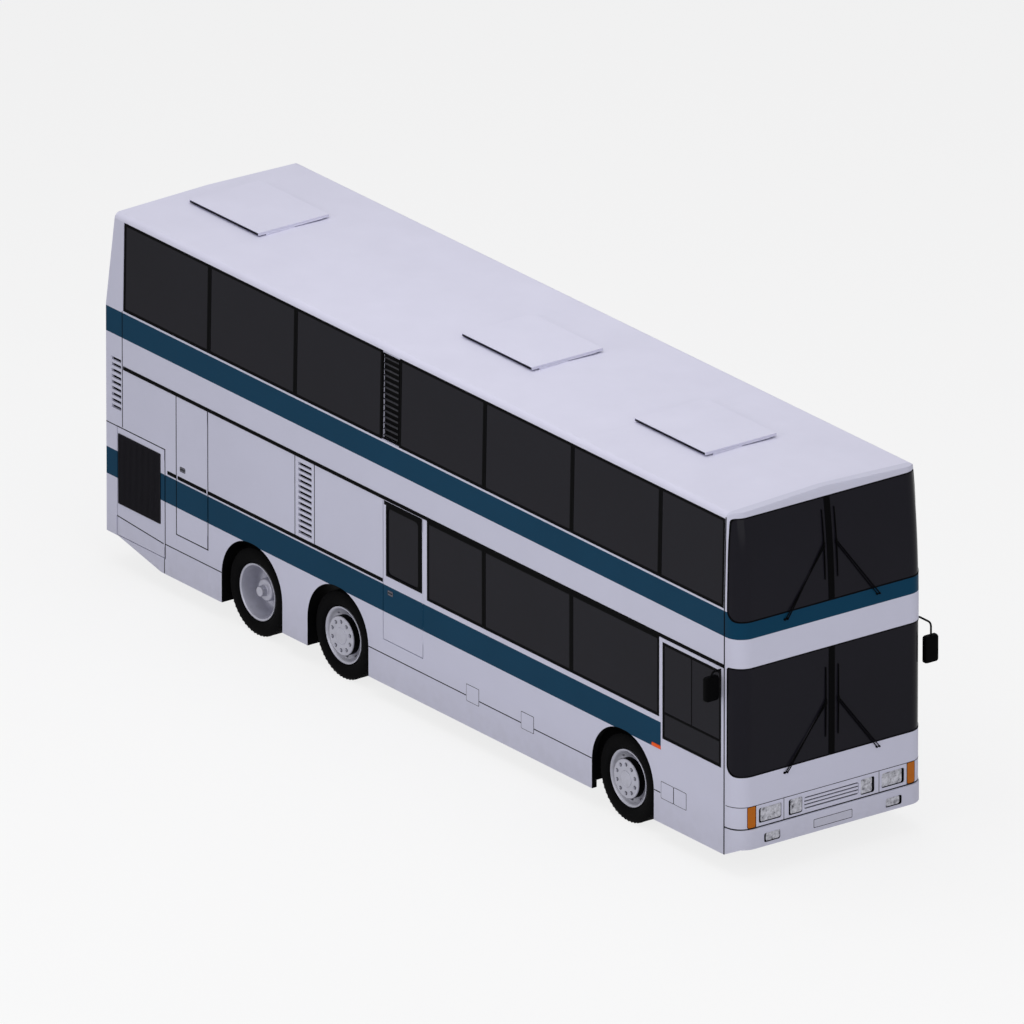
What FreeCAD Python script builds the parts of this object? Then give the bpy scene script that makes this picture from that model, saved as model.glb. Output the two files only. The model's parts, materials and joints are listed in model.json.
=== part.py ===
import FreeCAD, Part
import Sketcher
import math
import os

# Double-deck coach with three axles and right-hand drive, in millimetres.
# +X is forward, +Y is the left side, +Z is up; the origin is on the ground below the middle of the coach.

os.makedirs("parts", exist_ok=True)
doc = FreeCAD.newDocument("coach")
sheet = doc.addObject("Spreadsheet::Sheet", "Sizes")
Vector = FreeCAD.Vector
Constraint = Sketcher.Constraint


class Size:
    """A number together with the sheet expression that gives it."""

    def __init__(self, value, text):
        self.value = float(value)
        self.text = text

    def join(self, other, sign, value):
        other_text = other.text if isinstance(other, Size) else repr(other)
        return Size(value, "(%s %s %s)" % (self.text, sign, other_text))

    def __add__(self, other):
        return self.join(other, "+", self.value + number(other))

    def __sub__(self, other):
        return self.join(other, "-", self.value - number(other))

    def __mul__(self, other):
        return self.join(other, "*", self.value * number(other))

    def __truediv__(self, other):
        return self.join(other, "/", self.value / number(other))

    def __neg__(self):
        return self * -1

    __rmul__ = __mul__


def number(size):
    return size.value if isinstance(size, Size) else float(size)


class Sizes:
    """The rows of the sheet: each name is an alias there and an attribute here."""

    def __init__(self):
        self.rows = 0

    def add(self, named):
        for name, value in named.items():
            self.rows += 1
            sheet.set("A%d" % self.rows, name)
            sheet.set("B%d" % self.rows, str(value))
            sheet.setAlias("B%d" % self.rows, name)
            setattr(self, name, Size(value, "Sizes." + name))
        sheet.recompute()


its = Sizes()
pieces = {}
zero = Size(0, "0")
right = -1
left = 1
roles = {"XY": "XY_Plane", "XZ": "XZ_Plane", "YZ": "YZ_Plane"}
turns = {
    "XY": FreeCAD.Rotation(),
    "XZ": FreeCAD.Rotation(Vector(1, 0, 0), 90),
    "YZ": FreeCAD.Rotation(Vector(1, 1, 1), 120),
}


axis_turns = {
    "x": FreeCAD.Rotation(Vector(0, 1, 0), 90),
    "y": FreeCAD.Rotation(Vector(1, 0, 0), -90),
    "z": FreeCAD.Rotation(),
}


# Helpers

def bind(item, prop, size):
    if isinstance(size, Size):
        item.setExpression(prop, size.text)
    else:
        setattr(item, prop, size)


def place(item, spot, turn=None):
    item.Placement = FreeCAD.Placement(Vector(*[number(part) for part in spot]), turn or FreeCAD.Rotation())
    for axis, part in zip("xyz", spot):
        if isinstance(part, Size):
            item.setExpression("Placement.Base." + axis, part.text)
    return item


def keep(name, item):
    item.Label = name
    pieces[name] = item
    return item


def box(name, along, across, up):
    item = doc.addObject("Part::Box", name)
    for prop, span in (("Length", along), ("Width", across), ("Height", up)):
        bind(item, prop, span[1] - span[0])
    return place(item, (along[0], across[0], up[0]))


def around(radius, sides):
    """Radius of the corners of a regular polygon whose sides touch a circle of this radius."""
    return Size(number(radius) / math.cos(math.pi / number(sides)),
                "(%s / cos(180 deg / %s))" % (radius.text, sides.text))


def half_step(sides):
    return FreeCAD.Rotation(Vector(0, 0, 1), 180 / number(sides))


def prism(name, start, length, radius, sides, axis="z"):
    """A round bar with flats, its corners at this radius."""
    item = doc.addObject("Part::Prism", name)
    bind(item, "Polygon", sides)
    bind(item, "Circumradius", radius)
    bind(item, "Height", length)
    return place(item, start, axis_turns[axis] * half_step(sides))


def turned(name, spot, profile, sides):
    """A ring with flats about a line across the coach; its profile is a closed list of (place, radius)."""
    count = int(number(sides))
    loops = []
    for across, radius in profile:
        reach = number(around(radius, sides))
        angles = [math.pi * (2 * corner + 1) / count for corner in range(count)]
        loops.append([Vector(reach * math.cos(angle), number(across), reach * math.sin(angle)) for angle in angles])
    faces = []
    for loop_no, loop in enumerate(loops):
        before = loops[loop_no - 1]
        for corner in range(count):
            quad = [before[corner - 1], before[corner], loop[corner], loop[corner - 1]]
            faces.append(Part.Face(Part.makePolygon(quad + quad[:1])))
    solid = Part.makeSolid(Part.makeShell(faces))
    if solid.Volume < 0:
        solid.reverse()
    item = doc.addObject("Part::Feature", name)
    item.Shape = solid
    return place(item, spot)


def slant(name, profile, ahead, rise):
    """A level profile drawn up along a slanted line, which moves ahead by one size while it rises by another."""
    item = doc.addObject("Part::Extrusion", name)
    item.Base = profile
    item.DirMode = "Custom"
    item.Dir = Vector(number(ahead), 0, number(rise))
    item.setExpression("Dir.x", ahead.text)
    item.setExpression("Dir.z", rise.text)
    item.Solid = True
    long = Size(math.hypot(number(ahead), number(rise)), "sqrt((%s)^2 + (%s)^2)" % (ahead.text, rise.text))
    bind(item, "LengthFwd", long)
    return item


def rod(name, start, length, radius, axis="z"):
    item = doc.addObject("Part::Cylinder", name)
    bind(item, "Radius", radius)
    bind(item, "Height", length)
    return place(item, start, axis_turns[axis])


def fuse(name, items):
    if len(items) == 1:
        return items[0]
    item = doc.addObject("Part::MultiFuse", name)
    item.Shapes = items
    return item


def group(name, items):
    item = doc.addObject("Part::Compound", name)
    item.Links = items
    return item


def cut(name, base, tool):
    item = doc.addObject("Part::Cut", name)
    item.Base = base
    item.Tool = tool
    return item


def common(name, base, tool):
    item = doc.addObject("Part::MultiCommon", name)
    item.Shapes = [base, tool]
    return item


def body(name):
    item = doc.addObject("PartDesign::Body", name)
    item.AllowCompound = True
    return item


def sketch(owner, name, plane, offset=None):
    if owner is None:
        item = doc.addObject("Sketcher::SketchObject", name)
        normal = {"XY": (0, 0, 1), "XZ": (0, -1, 0), "YZ": (1, 0, 0)}[plane]
        shift = offset if offset is not None else zero
        return place(item, [shift * part if part else 0 for part in normal], turns[plane])
    item = owner.newObject("Sketcher::SketchObject", name)
    plane_item = [part for part in owner.Origin.OriginFeatures if part.Role == roles[plane]][0]
    item.AttachmentSupport = [(plane_item, "")]
    item.MapMode = "FlatFace"
    if offset is not None:
        item.setExpression("AttachmentOffset.Base.z", offset.text)
    return item


def outline(item, corners):
    """One closed loop; a corner is (across, up) or (across, up, radius)."""
    count = len(corners)
    spots = [Vector(number(corner[0]), number(corner[1]), 0) for corner in corners]
    enter, leave, arcs = [], [], []
    for place_no, corner in enumerate(corners):
        here = spots[place_no]
        if len(corner) < 3:
            enter.append(here)
            leave.append(here)
            arcs.append(None)
            continue
        before = (spots[place_no - 1] - here).normalize()
        after = (spots[(place_no + 1) % count] - here).normalize()
        half_angle = before.getAngle(after) / 2
        reach = number(corner[2]) / math.tan(half_angle)
        enter.append(here + before * reach)
        leave.append(here + after * reach)
        middle = here + (before + after).normalize() * (number(corner[2]) / math.sin(half_angle))
        top = middle + (here - middle).normalize() * number(corner[2])
        clockwise = before.cross(after).z > 0
        arcs.append((Part.Arc(enter[-1], top, leave[-1]), clockwise))
    first = item.GeometryCount
    for place_no in range(count):
        item.addGeometry(Part.LineSegment(leave[place_no], enter[(place_no + 1) % count]), False)
    rules, sizes = [], []

    def fix(kind, geometry, point, size):
        rules.append(Constraint(kind, -1, 1, geometry, point, number(size)))
        if isinstance(size, Size):
            sizes.append((len(rules) - 1, size))

    for place_no, corner in enumerate(corners):
        line_in = first + (place_no - 1) % count
        line_out = first + place_no
        if arcs[place_no] is None:
            rules.append(Constraint("Coincident", line_in, 2, line_out, 1))
            fix("DistanceX", line_out, 1, corner[0])
            fix("DistanceY", line_out, 1, corner[1])
            continue
        arc_no = item.addGeometry(arcs[place_no][0], False)
        start, end = (1, 2) if not arcs[place_no][1] else (2, 1)
        point_no = item.addGeometry(Part.Point(spots[place_no]), True)
        fix("DistanceX", point_no, 1, corner[0])
        fix("DistanceY", point_no, 1, corner[1])
        rules.append(Constraint("PointOnObject", point_no, 1, line_in))
        rules.append(Constraint("PointOnObject", point_no, 1, line_out))
        rules.append(Constraint("Tangent", line_in, 2, arc_no, start))
        rules.append(Constraint("Tangent", arc_no, end, line_out, 1))
        rules.append(Constraint("Radius", arc_no, number(corner[2])))
        if isinstance(corner[2], Size):
            sizes.append((len(rules) - 1, corner[2]))
    before_rules = item.ConstraintCount
    item.addConstraint(rules)
    for rule_no, size in sizes:
        item.setExpression("Constraints[%d]" % (before_rules + rule_no), size.text)


def window(item, along, up, radius=None):
    tail = (radius,) if radius is not None else ()
    outline(item, [spot + tail for spot in (
        (along[0], up[0]), (along[1], up[0]), (along[1], up[1]), (along[0], up[1]))])


def pad(owner, profile, length, backwards=False):
    item = owner.newObject("PartDesign::Pad", profile.Name + "_pad")
    item.Profile = profile
    bind(item, "Length", length)
    item.Reversed = backwards
    return item


def pocket(owner, profile, length, backwards=False):
    item = owner.newObject("PartDesign::Pocket", profile.Name + "_pocket")
    item.Profile = profile
    bind(item, "Length", length)
    item.Reversed = backwards
    return item


def extrude(name, profile, length, backwards=False):
    item = doc.addObject("Part::Extrusion", name)
    item.Base = profile
    item.DirMode = "Normal"
    item.Solid = True
    item.Reversed = backwards
    bind(item, "LengthFwd", length)
    return item


def plus_minus(side, size):
    return size if side == left else -size


def span_y(side, inner, outer):
    return (inner, outer) if side == left else (-outer, -inner)


# Driving sizes of the whole coach

coach_sizes = {
    "overall_long": 11310, "body_wide": 2500, "front_reach": 260, "rear_reach": 69, "skirt_up": 215,
    "seat_line_up": 3000, "cant_up": 4020, "roof_rise": 98, "tumble_in": 20, "wall_thick": 60,
    "glass_thick": 8, "cut_over": 40, "run_gap": 0.3, "door_gap": 10, "rear_lean_in": 142,
    "bar_sides": 12, "hub_sides": 12, "rim_sides": 16, "tyre_sides": 24, "small_sides": 8,
}
its.add(coach_sizes)
roof_up = its.cant_up + its.roof_rise
half = its.body_wide / 2
seam_x = its.overall_long / 2 - its.front_reach
rear_x = -(its.overall_long / 2) + its.rear_reach
wall_in = half - its.wall_thick


def back(distance):
    """X of a point that lies this far behind the front seam of the side walls."""
    return seam_x - distance


def ahead(distance):
    """Distance behind the front seam of a point that lies this far ahead of the rear."""
    return seam_x - rear_x - distance


# Windows and doors, as distances behind the front seam and heights

window_sizes = {
    "frame_front": 10, "first_bay": 1134, "bay": 1545, "short_bay": 1505, "vent_bay": 310,
    "sill_rise": 10, "lower_sill": 1420, "lower_head": 2330, "divider": 20, "pillar_half": 60,
    "window_round": 50, "lower_end": 6018, "emergency_front": 5310, "emergency_long": 697,
    "emergency_foot": 735, "door_head": 2330, "emergency_post": 5230, "luggage_ahead": 1816,
    "luggage_long": 547, "luggage_foot": 746, "driver_front": 51, "driver_long": 1024, "driver_sill": 1187,
    "driver_head": 2285, "entrance_front": 130, "entrance_long": 930, "entrance_foot": 330,
    "entrance_head": 2200, "radiator_ahead": 1043, "radiator_long": 840, "radiator_foot": 400,
    "radiator_head": 1643, "radiator_rail": 62, "radiator_edge": 20, "radiator_slot": 26, "radiator_bar": 24,
    "radiator_slot_low": 765, "radiator_slot_high": 1575,
}
its.add(window_sizes)
upper_sill = its.seat_line_up + its.sill_rise
luggage_front = ahead(its.luggage_ahead)
radiator_front = ahead(its.radiator_ahead)
post_one = its.first_bay
post_two = post_one + its.bay
post_three = post_two + its.bay
vent_front = post_three + its.short_bay
vent_rear = vent_front + its.vent_bay
post_four = vent_rear + its.bay
post_five = post_four + its.bay
frame_rear = post_five + its.bay
upper_panes = [
    (its.frame_front, post_one), (post_one, post_two), (post_two, post_three), (post_three, vent_front),
    (vent_rear, post_four), (post_four, post_five), (post_five, frame_rear)]
lower_panes = {
    right: [(post_one, post_two), (post_two, post_three), (post_three, its.emergency_post)],
    left: [(post_one, post_two), (post_two, post_three), (post_three, its.emergency_post),
           (its.emergency_post, its.lower_end)],
}
doors = {
    right: [
        (its.emergency_front, its.emergency_long, its.emergency_foot, its.door_head),
        (luggage_front, its.luggage_long, its.luggage_foot, its.door_head),
        (radiator_front, its.radiator_long, its.radiator_foot, its.radiator_head)],
    left: [
        (its.entrance_front, its.entrance_long, its.entrance_foot, its.entrance_head),
        (luggage_front, its.luggage_long, its.luggage_foot, its.door_head),
        (radiator_front, its.radiator_long, its.radiator_foot, its.radiator_head)],
}

# Axles and wheels

axle_sizes = {
    "front_axle_back": 1770, "middle_axle_back": 6820, "rear_axle_back": 8360, "wheel_radius": 490,
    "tyre_wide": 280, "wheel_inset": 50, "arch_half": 545, "arch_up": 1065, "arch_round": 520,
    "twin_step": 325,
}
its.add(axle_sizes)
axles = {"front": its.front_axle_back, "middle": its.middle_axle_back, "rear": its.rear_axle_back}
wheel_y = half - its.wheel_inset - its.tyre_wide / 2


# Side walls

hinge_share = 0.8
hinge_sizes = {
    "hinge_radius": 4.5, "hinge_gap": 0.3, "leaf_thick": 6,
}
its.add(hinge_sizes)
wall_end_sizes = {
    "rear_slope_long": 983, "rear_skirt_up": 387, "rear_skirt_flat": 206, "vent_deep": 34,
    "slat_vent_back": 7237, "slat_vent_long": 348, "corner_vent_ahead": 271, "corner_vent_long": 172,
    "corner_vent_up": 1840, "corner_vent_high": 590, "sheet_gap": 0.5,
}
its.add(wall_end_sizes)
corner_vent_back = ahead(its.corner_vent_ahead)


def wall_profile(item, side, outer_cut, inner_cut, low, high):
    """Slice of the wall between two depths from its outer face, with the tumblehome above the seat line."""
    def at(depth, up):
        return plus_minus(side, half - depth), up
    lean = its.tumble_in * (high - its.seat_line_up) / (its.cant_up - its.seat_line_up)
    outline(item, [at(outer_cut, low), at(outer_cut, its.seat_line_up), at(outer_cut + lean, high),
                   at(inner_cut + lean, high), at(inner_cut, its.seat_line_up), at(inner_cut, low)])


def side_wall(name, side):
    owner = body(name)
    profile = sketch(owner, name + "_profile", "YZ", rear_x)
    wall_profile(profile, side, zero, its.wall_thick, its.skirt_up, its.cant_up)
    pad(owner, profile, seam_x - rear_x)
    ends = sketch(owner, name + "_ends", "XZ")
    outline(ends, [
        (rear_x, its.seat_line_up), (rear_x + its.rear_lean_in, its.cant_up + its.cut_over),
        (rear_x - its.cut_over, its.cant_up + its.cut_over), (rear_x - its.cut_over, its.seat_line_up)])
    outline(ends, [
        (rear_x - its.cut_over, its.rear_skirt_up), (rear_x - its.cut_over, its.skirt_up - its.cut_over),
        (rear_x + its.rear_slope_long, its.skirt_up - its.cut_over), (rear_x + its.rear_slope_long, its.skirt_up),
        (rear_x + its.rear_skirt_flat, its.rear_skirt_up)])
    pocket(owner, ends, its.body_wide, side == right)
    openings = []

    def opening(*loop):
        item = sketch(owner, "%s_opening_%d" % (name, len(openings)), "XZ")
        window(item, *loop)
        openings.append(pocket(owner, item, its.body_wide, side == right))

    for front, rear in upper_panes:
        opening((back(rear - its.pillar_half), back(front + its.pillar_half)),
                (upper_sill + its.pillar_half, its.cant_up - its.pillar_half))
    for front, rear in lower_panes[side]:
        opening((back(rear - its.pillar_half), back(front + its.pillar_half)),
                (its.lower_sill + its.pillar_half, its.lower_head - its.pillar_half))
    for front, along, low, high in doors[side]:
        opening((back(front + along + its.door_gap), back(front - its.door_gap)),
                (low - its.door_gap, high + its.door_gap))
    if side == right:
        opening((back(its.driver_front + its.driver_long - its.pillar_half / 2),
                 back(its.driver_front + its.pillar_half / 2)),
                (its.driver_sill + its.pillar_half / 2, its.driver_head - its.pillar_half / 2))
    for distance in axles.values():
        arch = sketch(owner, "%s_arch_%d" % (name, len(openings)), "XZ")
        outline(arch, [
            (back(distance + its.arch_half), its.skirt_up - its.cut_over),
            (back(distance - its.arch_half), its.skirt_up - its.cut_over),
            (back(distance - its.arch_half), its.arch_up, its.arch_round),
            (back(distance + its.arch_half), its.arch_up, its.arch_round)])
        openings.append(pocket(owner, arch, its.body_wide, side == right))
    recess = sketch(owner, name + "_recess", "YZ", back(frame_rear))
    wall_profile(recess, side, -its.cut_over, its.glass_thick, upper_sill, its.cant_up)
    return owner, recess


vent_spans = [
    ((back(its.slat_vent_back + its.slat_vent_long), back(its.slat_vent_back)), (its.lower_sill, its.lower_head)),
    ((back(corner_vent_back + its.corner_vent_long), back(corner_vent_back)),
     (its.corner_vent_up, its.corner_vent_up + its.corner_vent_high)),
    ((back(vent_rear - its.divider), back(vent_front + its.divider)),
     (upper_sill + its.divider, its.cant_up - its.divider * 2))]


def hinge(name, fixed, x_spot, side, low, high):
    """Half of the long hinge of an upright door: its barrel and its leaf, below on the wall, above on the door."""
    reach = (high - low) * hinge_share
    middle = (low + high) / 2
    start = middle - reach / 2 if fixed else middle + its.hinge_gap
    long = reach / 2 - its.hinge_gap
    barrel = rod(name + "_barrel", (x_spot, plus_minus(side, half), start), long, its.hinge_radius)
    along = (x_spot, x_spot + its.door_gap) if fixed else (x_spot - its.door_gap, x_spot)
    leaf = box(name + "_leaf", along, span_y(side, half - its.leaf_thick, half), (start, start + long))
    return [barrel, leaf]


def sheets(name, whole, edges, levels=()):
    """The piece in its separate sheets, which meet at these distances behind the front seam and heights."""
    across = (-its.body_wide, its.body_wide)
    slits = []
    for edge in edges:
        slits.append(box("%s_slit_%d" % (name, len(slits)), (back(edge + its.sheet_gap), back(edge)), across,
                         (its.skirt_up - its.cut_over, roof_up + its.cut_over)))
    for level in levels:
        slits.append(box("%s_slit_%d" % (name, len(slits)), (rear_x - its.cut_over, seam_x + its.cut_over), across,
                         (level - its.sheet_gap, level)))
    return cut(name, whole, fuse(name + "_slits", slits))


def fixed_hinges(name, side):
    parts = []
    for front, along, low, high in doors[side]:
        parts += hinge("%s_hinge_%d" % (name, len(parts)), True, back(front - its.door_gap / 2), side, low, high)
    return parts


def finish_side_wall(name, side):
    owner, recess = side_wall(name + "_body", side)
    pocket(owner, recess, frame_rear - its.frame_front, True)
    low = sketch(owner, name + "_low_recess", "XZ", plus_minus(side, -(half - its.glass_thick)))
    front_edge = post_one
    rear_edge = its.lower_end if side == left else its.emergency_post
    window(low, (back(rear_edge), back(front_edge)), (its.lower_sill, its.lower_head))
    if side == right:
        window(low, (back(its.driver_front + its.driver_long), back(its.driver_front)),
               (its.driver_sill, its.driver_head))
    pocket(owner, low, its.glass_thick + its.cut_over, side == right)
    vents = sketch(owner, name + "_vents", "XZ", plus_minus(side, -(half - its.vent_deep)))
    for along, up in vent_spans:
        window(vents, along, up)
    pocket(owner, vents, its.vent_deep + its.cut_over, side == right)
    joints = (luggage_front - its.door_gap - its.sheet_gap,
              luggage_front + its.luggage_long + its.door_gap)
    whole = sheets(name + "_sheets", owner, joints, [its.seat_line_up])
    keep(name, fuse(name, [whole] + fixed_hinges(name, side)))


finish_side_wall("side_wall_right", right)
finish_side_wall("side_wall_left", left)


# Side glass: panes that lie in the recess of the wall

def side_glass(name, side):
    profile = sketch(None, name + "_profile", "YZ", rear_x)
    wall_profile(profile, side, zero, its.glass_thick, its.driver_sill, its.cant_up)
    skin = extrude(name + "_skin", profile, seam_x - rear_x)
    across = span_y(side, half - its.cut_over, half + its.cut_over)
    plates = []
    for panes, up in ((upper_panes, (upper_sill, its.cant_up)),
                      (lower_panes[side], (its.lower_sill, its.lower_head))):
        for front, rear in panes:
            plates.append(box("%s_pane_%d" % (name, len(plates)),
                              (back(rear - its.divider / 2), back(front + its.divider / 2)), across, up))
    if side == right:
        plates.append(box(name + "_driver", (back(its.driver_front + its.driver_long), back(its.driver_front)),
                          across, (its.driver_sill, its.driver_head)))
    keep(name, common(name, skin, group(name + "_plates", plates)))


side_glass("side_glass_right", right)
side_glass("side_glass_left", left)


# Roof with its round edges and three hatch openings

roof_sizes = {
    "roof_thick": 50, "roof_edge_rise": 68, "roof_round": 66, "hatch_long": 1250, "hatch_wide": 935,
    "hatch_thick": 32, "hatch_lip": 25, "hatch_front_back": 1362, "hatch_middle_back": 4411,
    "hatch_rear_back": 9281, "hatch_rise": 6,
}
its.add(roof_sizes)
roof_edge_up = its.cant_up + its.roof_edge_rise
hatches = {"front": its.hatch_front_back, "middle": its.hatch_middle_back, "rear": its.hatch_rear_back}


def roof_panel():
    owner = body("roof_panel")
    profile = sketch(owner, "roof_profile", "YZ", rear_x)
    edge = half - its.tumble_in
    inner = edge - its.wall_thick
    inner_round = its.roof_round - its.roof_thick
    outline(profile, [
        (-edge, its.cant_up), (-inner, its.cant_up),
        (-inner, roof_edge_up - its.roof_thick, inner_round), (zero, roof_up - its.roof_thick),
        (inner, roof_edge_up - its.roof_thick, inner_round), (inner, its.cant_up),
        (edge, its.cant_up), (edge, roof_edge_up, its.roof_round), (zero, roof_up),
        (-edge, roof_edge_up, its.roof_round)])
    pad(owner, profile, seam_x - rear_x)
    ends = sketch(owner, "roof_ends", "XZ")
    lean_rate = its.rear_lean_in / (its.cant_up + its.cut_over - its.seat_line_up)
    outline(ends, [
        (rear_x + lean_rate * (its.cant_up - its.seat_line_up - its.cut_over), its.cant_up - its.cut_over),
        (rear_x + lean_rate * (roof_up + its.cut_over - its.seat_line_up), roof_up + its.cut_over),
        (rear_x - its.cut_over, roof_up + its.cut_over), (rear_x - its.cut_over, its.cant_up - its.cut_over)])
    both = pocket(owner, ends, its.body_wide * 2)
    both.Midplane = True
    holes = sketch(owner, "roof_holes", "XY", roof_up + its.cut_over)
    for distance in hatches.values():
        window(holes, (back(distance + its.hatch_long - its.hatch_lip), back(distance + its.hatch_lip)),
               (-its.hatch_wide / 2 + its.hatch_lip, its.hatch_wide / 2 - its.hatch_lip))
    pocket(owner, holes, its.roof_thick + its.cut_over * 3)
    keep("roof_panel", owner)


roof_panel()


# Nose: a plan section, straight below and leaning back along a curve above, trimmed to the section of the
# coach, with a wall cut out of it

nose_sizes = {
    "nose_deep": 230, "nose_lean_in": 110, "nose_lean_up": 2600, "nose_edge_rise": 48, "nose_edge_in": 45,
    "nose_round": 200, "nose_corner_flats": 6, "nose_foot": 530, "screen_inset": 4, "screen_thick": 10,
    "front_wall": 50, "lower_screen_sill": 1125,
    "lower_screen_head": 2365, "upper_screen_sill": 2880, "screen_head_rise": 15, "screen_back_edge": 45,
    "screen_low_round": 130, "screen_top_round": 40, "screen_post": 30,
}
its.add(nose_sizes)
nose_edge_up = its.cant_up + its.nose_edge_rise
upper_screen_head = its.cant_up + its.screen_head_rise
nose_level_shares = (0, 0.35, 0.7, 1)


def nose_section(name, inset, up, deep):
    item = sketch(None, name, "XY", up)
    front = seam_x + deep - inset
    side = half - inset
    start = seam_x - its.cut_over
    curve = its.nose_round - inset
    flats = int(number(its.nose_corner_flats))
    corner = [(front - curve + curve * math.sin(angle), side - curve + curve * math.cos(angle))
              for angle in (math.pi / 2 * step / flats for step in range(flats + 1))]
    outline(item, [(start, -side)] + [(along, -across) for along, across in corner] + corner[::-1] + [(start, side)])
    return item


def coach_section(name, inset, drop):
    """The cross-section of the coach ahead of the seam, this far inside its sides and below its roof."""
    item = sketch(None, name, "YZ", seam_x)
    side = half - inset
    edge = side - its.tumble_in
    low = its.nose_foot - its.cut_over * 2
    outline(item, [
        (-side, low), (side, low), (side, its.seat_line_up), (edge, its.cant_up),
        (edge, roof_edge_up - drop, its.roof_round - drop), (zero, roof_up - drop),
        (-edge, roof_edge_up - drop, its.roof_round - drop), (-edge, its.cant_up), (-side, its.seat_line_up)])
    return extrude(name + "_solid", item, its.front_reach)


def nose_stations():
    """Heights of the nose from the start of its lean, each with its reach ahead of the seam."""
    stations = [(its.nose_lean_up + (nose_edge_up - its.nose_lean_up) * share,
                 its.nose_deep - its.nose_lean_in * (share * share)) for share in nose_level_shares]
    return stations + [(roof_up + its.cut_over, stations[-1][1] - its.nose_edge_in)]


def nose_face(up):
    """X of the middle of the nose at a height within its lean."""
    stations = nose_stations()
    for (low, deep), (high, next_deep) in zip(stations, stations[1:]):
        if number(low) <= number(up) <= number(high):
            return seam_x + deep + (next_deep - deep) * ((up - low) / (high - low))


def nose_form(name, inset, drop):
    """The nose, this far inside its outer face and below its top."""
    foot = its.nose_foot if inset is zero else its.nose_foot - its.cut_over
    stations = [(foot, its.nose_deep)] + nose_stations()
    runs = []
    for (low, deep), (high, next_deep) in zip(stations, stations[1:]):
        run_name = "%s_run_%d" % (name, len(runs))
        runs.append(slant(run_name, nose_section(run_name + "_section", inset, low, deep), next_deep - deep,
                          high - low))
    return common(name, fuse(name + "_whole", runs), coach_section(name + "_trim", inset, drop))


nose_outer = nose_form("nose_outer", zero, zero)
nose_skin = nose_form("nose_skin", its.screen_inset, its.screen_inset)
nose_glass_back = nose_form("nose_glass_back", its.screen_inset + its.screen_thick,
                            its.screen_inset + its.screen_thick)
nose_inner = nose_form("nose_inner", its.front_wall, its.roof_thick)


def screen_tool(name, inset):
    shape = sketch(None, name + "_shape", "XZ", -its.body_wide)
    for sill, head in (
            (its.lower_screen_sill, its.lower_screen_head), (its.upper_screen_sill, upper_screen_head)):
        outline(shape, [
            (seam_x + its.screen_back_edge + inset, sill + inset, its.screen_low_round),
            (seam_x + its.nose_deep + its.cut_over, sill + inset),
            (seam_x + its.nose_deep + its.cut_over, head - inset),
            (seam_x + its.screen_back_edge + inset, head - inset, its.screen_top_round)])
    solid = extrude(name + "_solid", shape, its.body_wide * 2)
    post = box(name + "_post", (seam_x, seam_x + its.front_reach + its.cut_over),
               (-(its.screen_post + inset), its.screen_post + inset),
               (its.lower_screen_sill - its.cut_over, roof_up + its.cut_over))
    return cut(name, solid, post)


lamp_sizes = {
    "indicator_in": 1000, "indicator_out": 1110, "indicator_low": 540, "indicator_high": 810,
    "lamp_out_in": 650, "lamp_out_out": 970, "lamp_out_low": 530, "lamp_out_high": 770, "lamp_in_in": 380,
    "lamp_in_out": 585, "lamp_in_low": 545, "lamp_in_high": 750, "grille_half": 370,
    "grille_low": 550, "grille_high": 720, "grille_bar": 26, "grille_bar_count": 5,
}
its.add(lamp_sizes)


def lamp_shapes(name, plane_x, spans):
    shape = sketch(None, name, "YZ", plane_x)
    for inner, outer, low, high in spans:
        window(shape, (inner, outer), (low, high))
        window(shape, (-outer, -inner), (low, high))
    return extrude(name + "_solid", shape, its.front_reach)


lamp_plane = seam_x
lamp_spans = [
    (its.lamp_out_in, its.lamp_out_out, its.lamp_out_low, its.lamp_out_high),
    (its.lamp_in_in, its.lamp_in_out, its.lamp_in_low, its.lamp_in_high)]
indicator_spans = [(its.indicator_in, its.indicator_out, its.indicator_low, its.indicator_high)]


def front_panel():
    shell = cut("nose_shell", nose_outer, nose_inner)
    open_screens = cut("nose_open", shell, screen_tool("screen_holes", zero))
    lamps = lamp_shapes("lamp_holes", lamp_plane, lamp_spans + indicator_spans)
    vent = box("grille_hole", (seam_x, seam_x + its.front_reach), (-its.grille_half, its.grille_half),
               (its.grille_low, its.grille_high))
    holes = fuse("front_holes", [lamps, vent])
    keep("front_panel", cut("front_panel", open_screens, holes))
    glass_shell = cut("glass_shell", nose_skin, nose_glass_back)
    keep("windscreens", common("windscreens", glass_shell, screen_tool("screen_panes", zero)))
    lamp_shell = cut("lamp_shell", nose_skin, nose_inner)
    keep("front_lamps", common("front_lamps", lamp_shell, lamp_shapes("lamp_lenses", lamp_plane, lamp_spans)))
    keep("indicator_lamps", common(
        "indicator_lamps", lamp_shell, lamp_shapes("indicator_lenses", lamp_plane, indicator_spans)))
    bars = [box("grille_plate", (seam_x + its.nose_deep - its.front_wall, seam_x + its.nose_deep - its.front_wall / 2),
                (-its.grille_half, its.grille_half), (its.grille_low, its.grille_high))]
    bar_count = int(number(its.grille_bar_count))
    pitch = (its.grille_high - its.grille_low) / bar_count
    for count in range(bar_count):
        middle = its.grille_low + pitch / 2 + pitch * count
        bars.append(box("grille_bar_%d" % count,
                        (seam_x + its.nose_deep - its.front_wall / 2, seam_x + its.nose_deep - its.screen_inset),
                        (-its.grille_half, its.grille_half),
                        (middle - its.grille_bar / 2, middle + its.grille_bar / 2)))
    keep("front_grille", fuse("front_grille", bars))


front_panel()


# Bumpers

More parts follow.
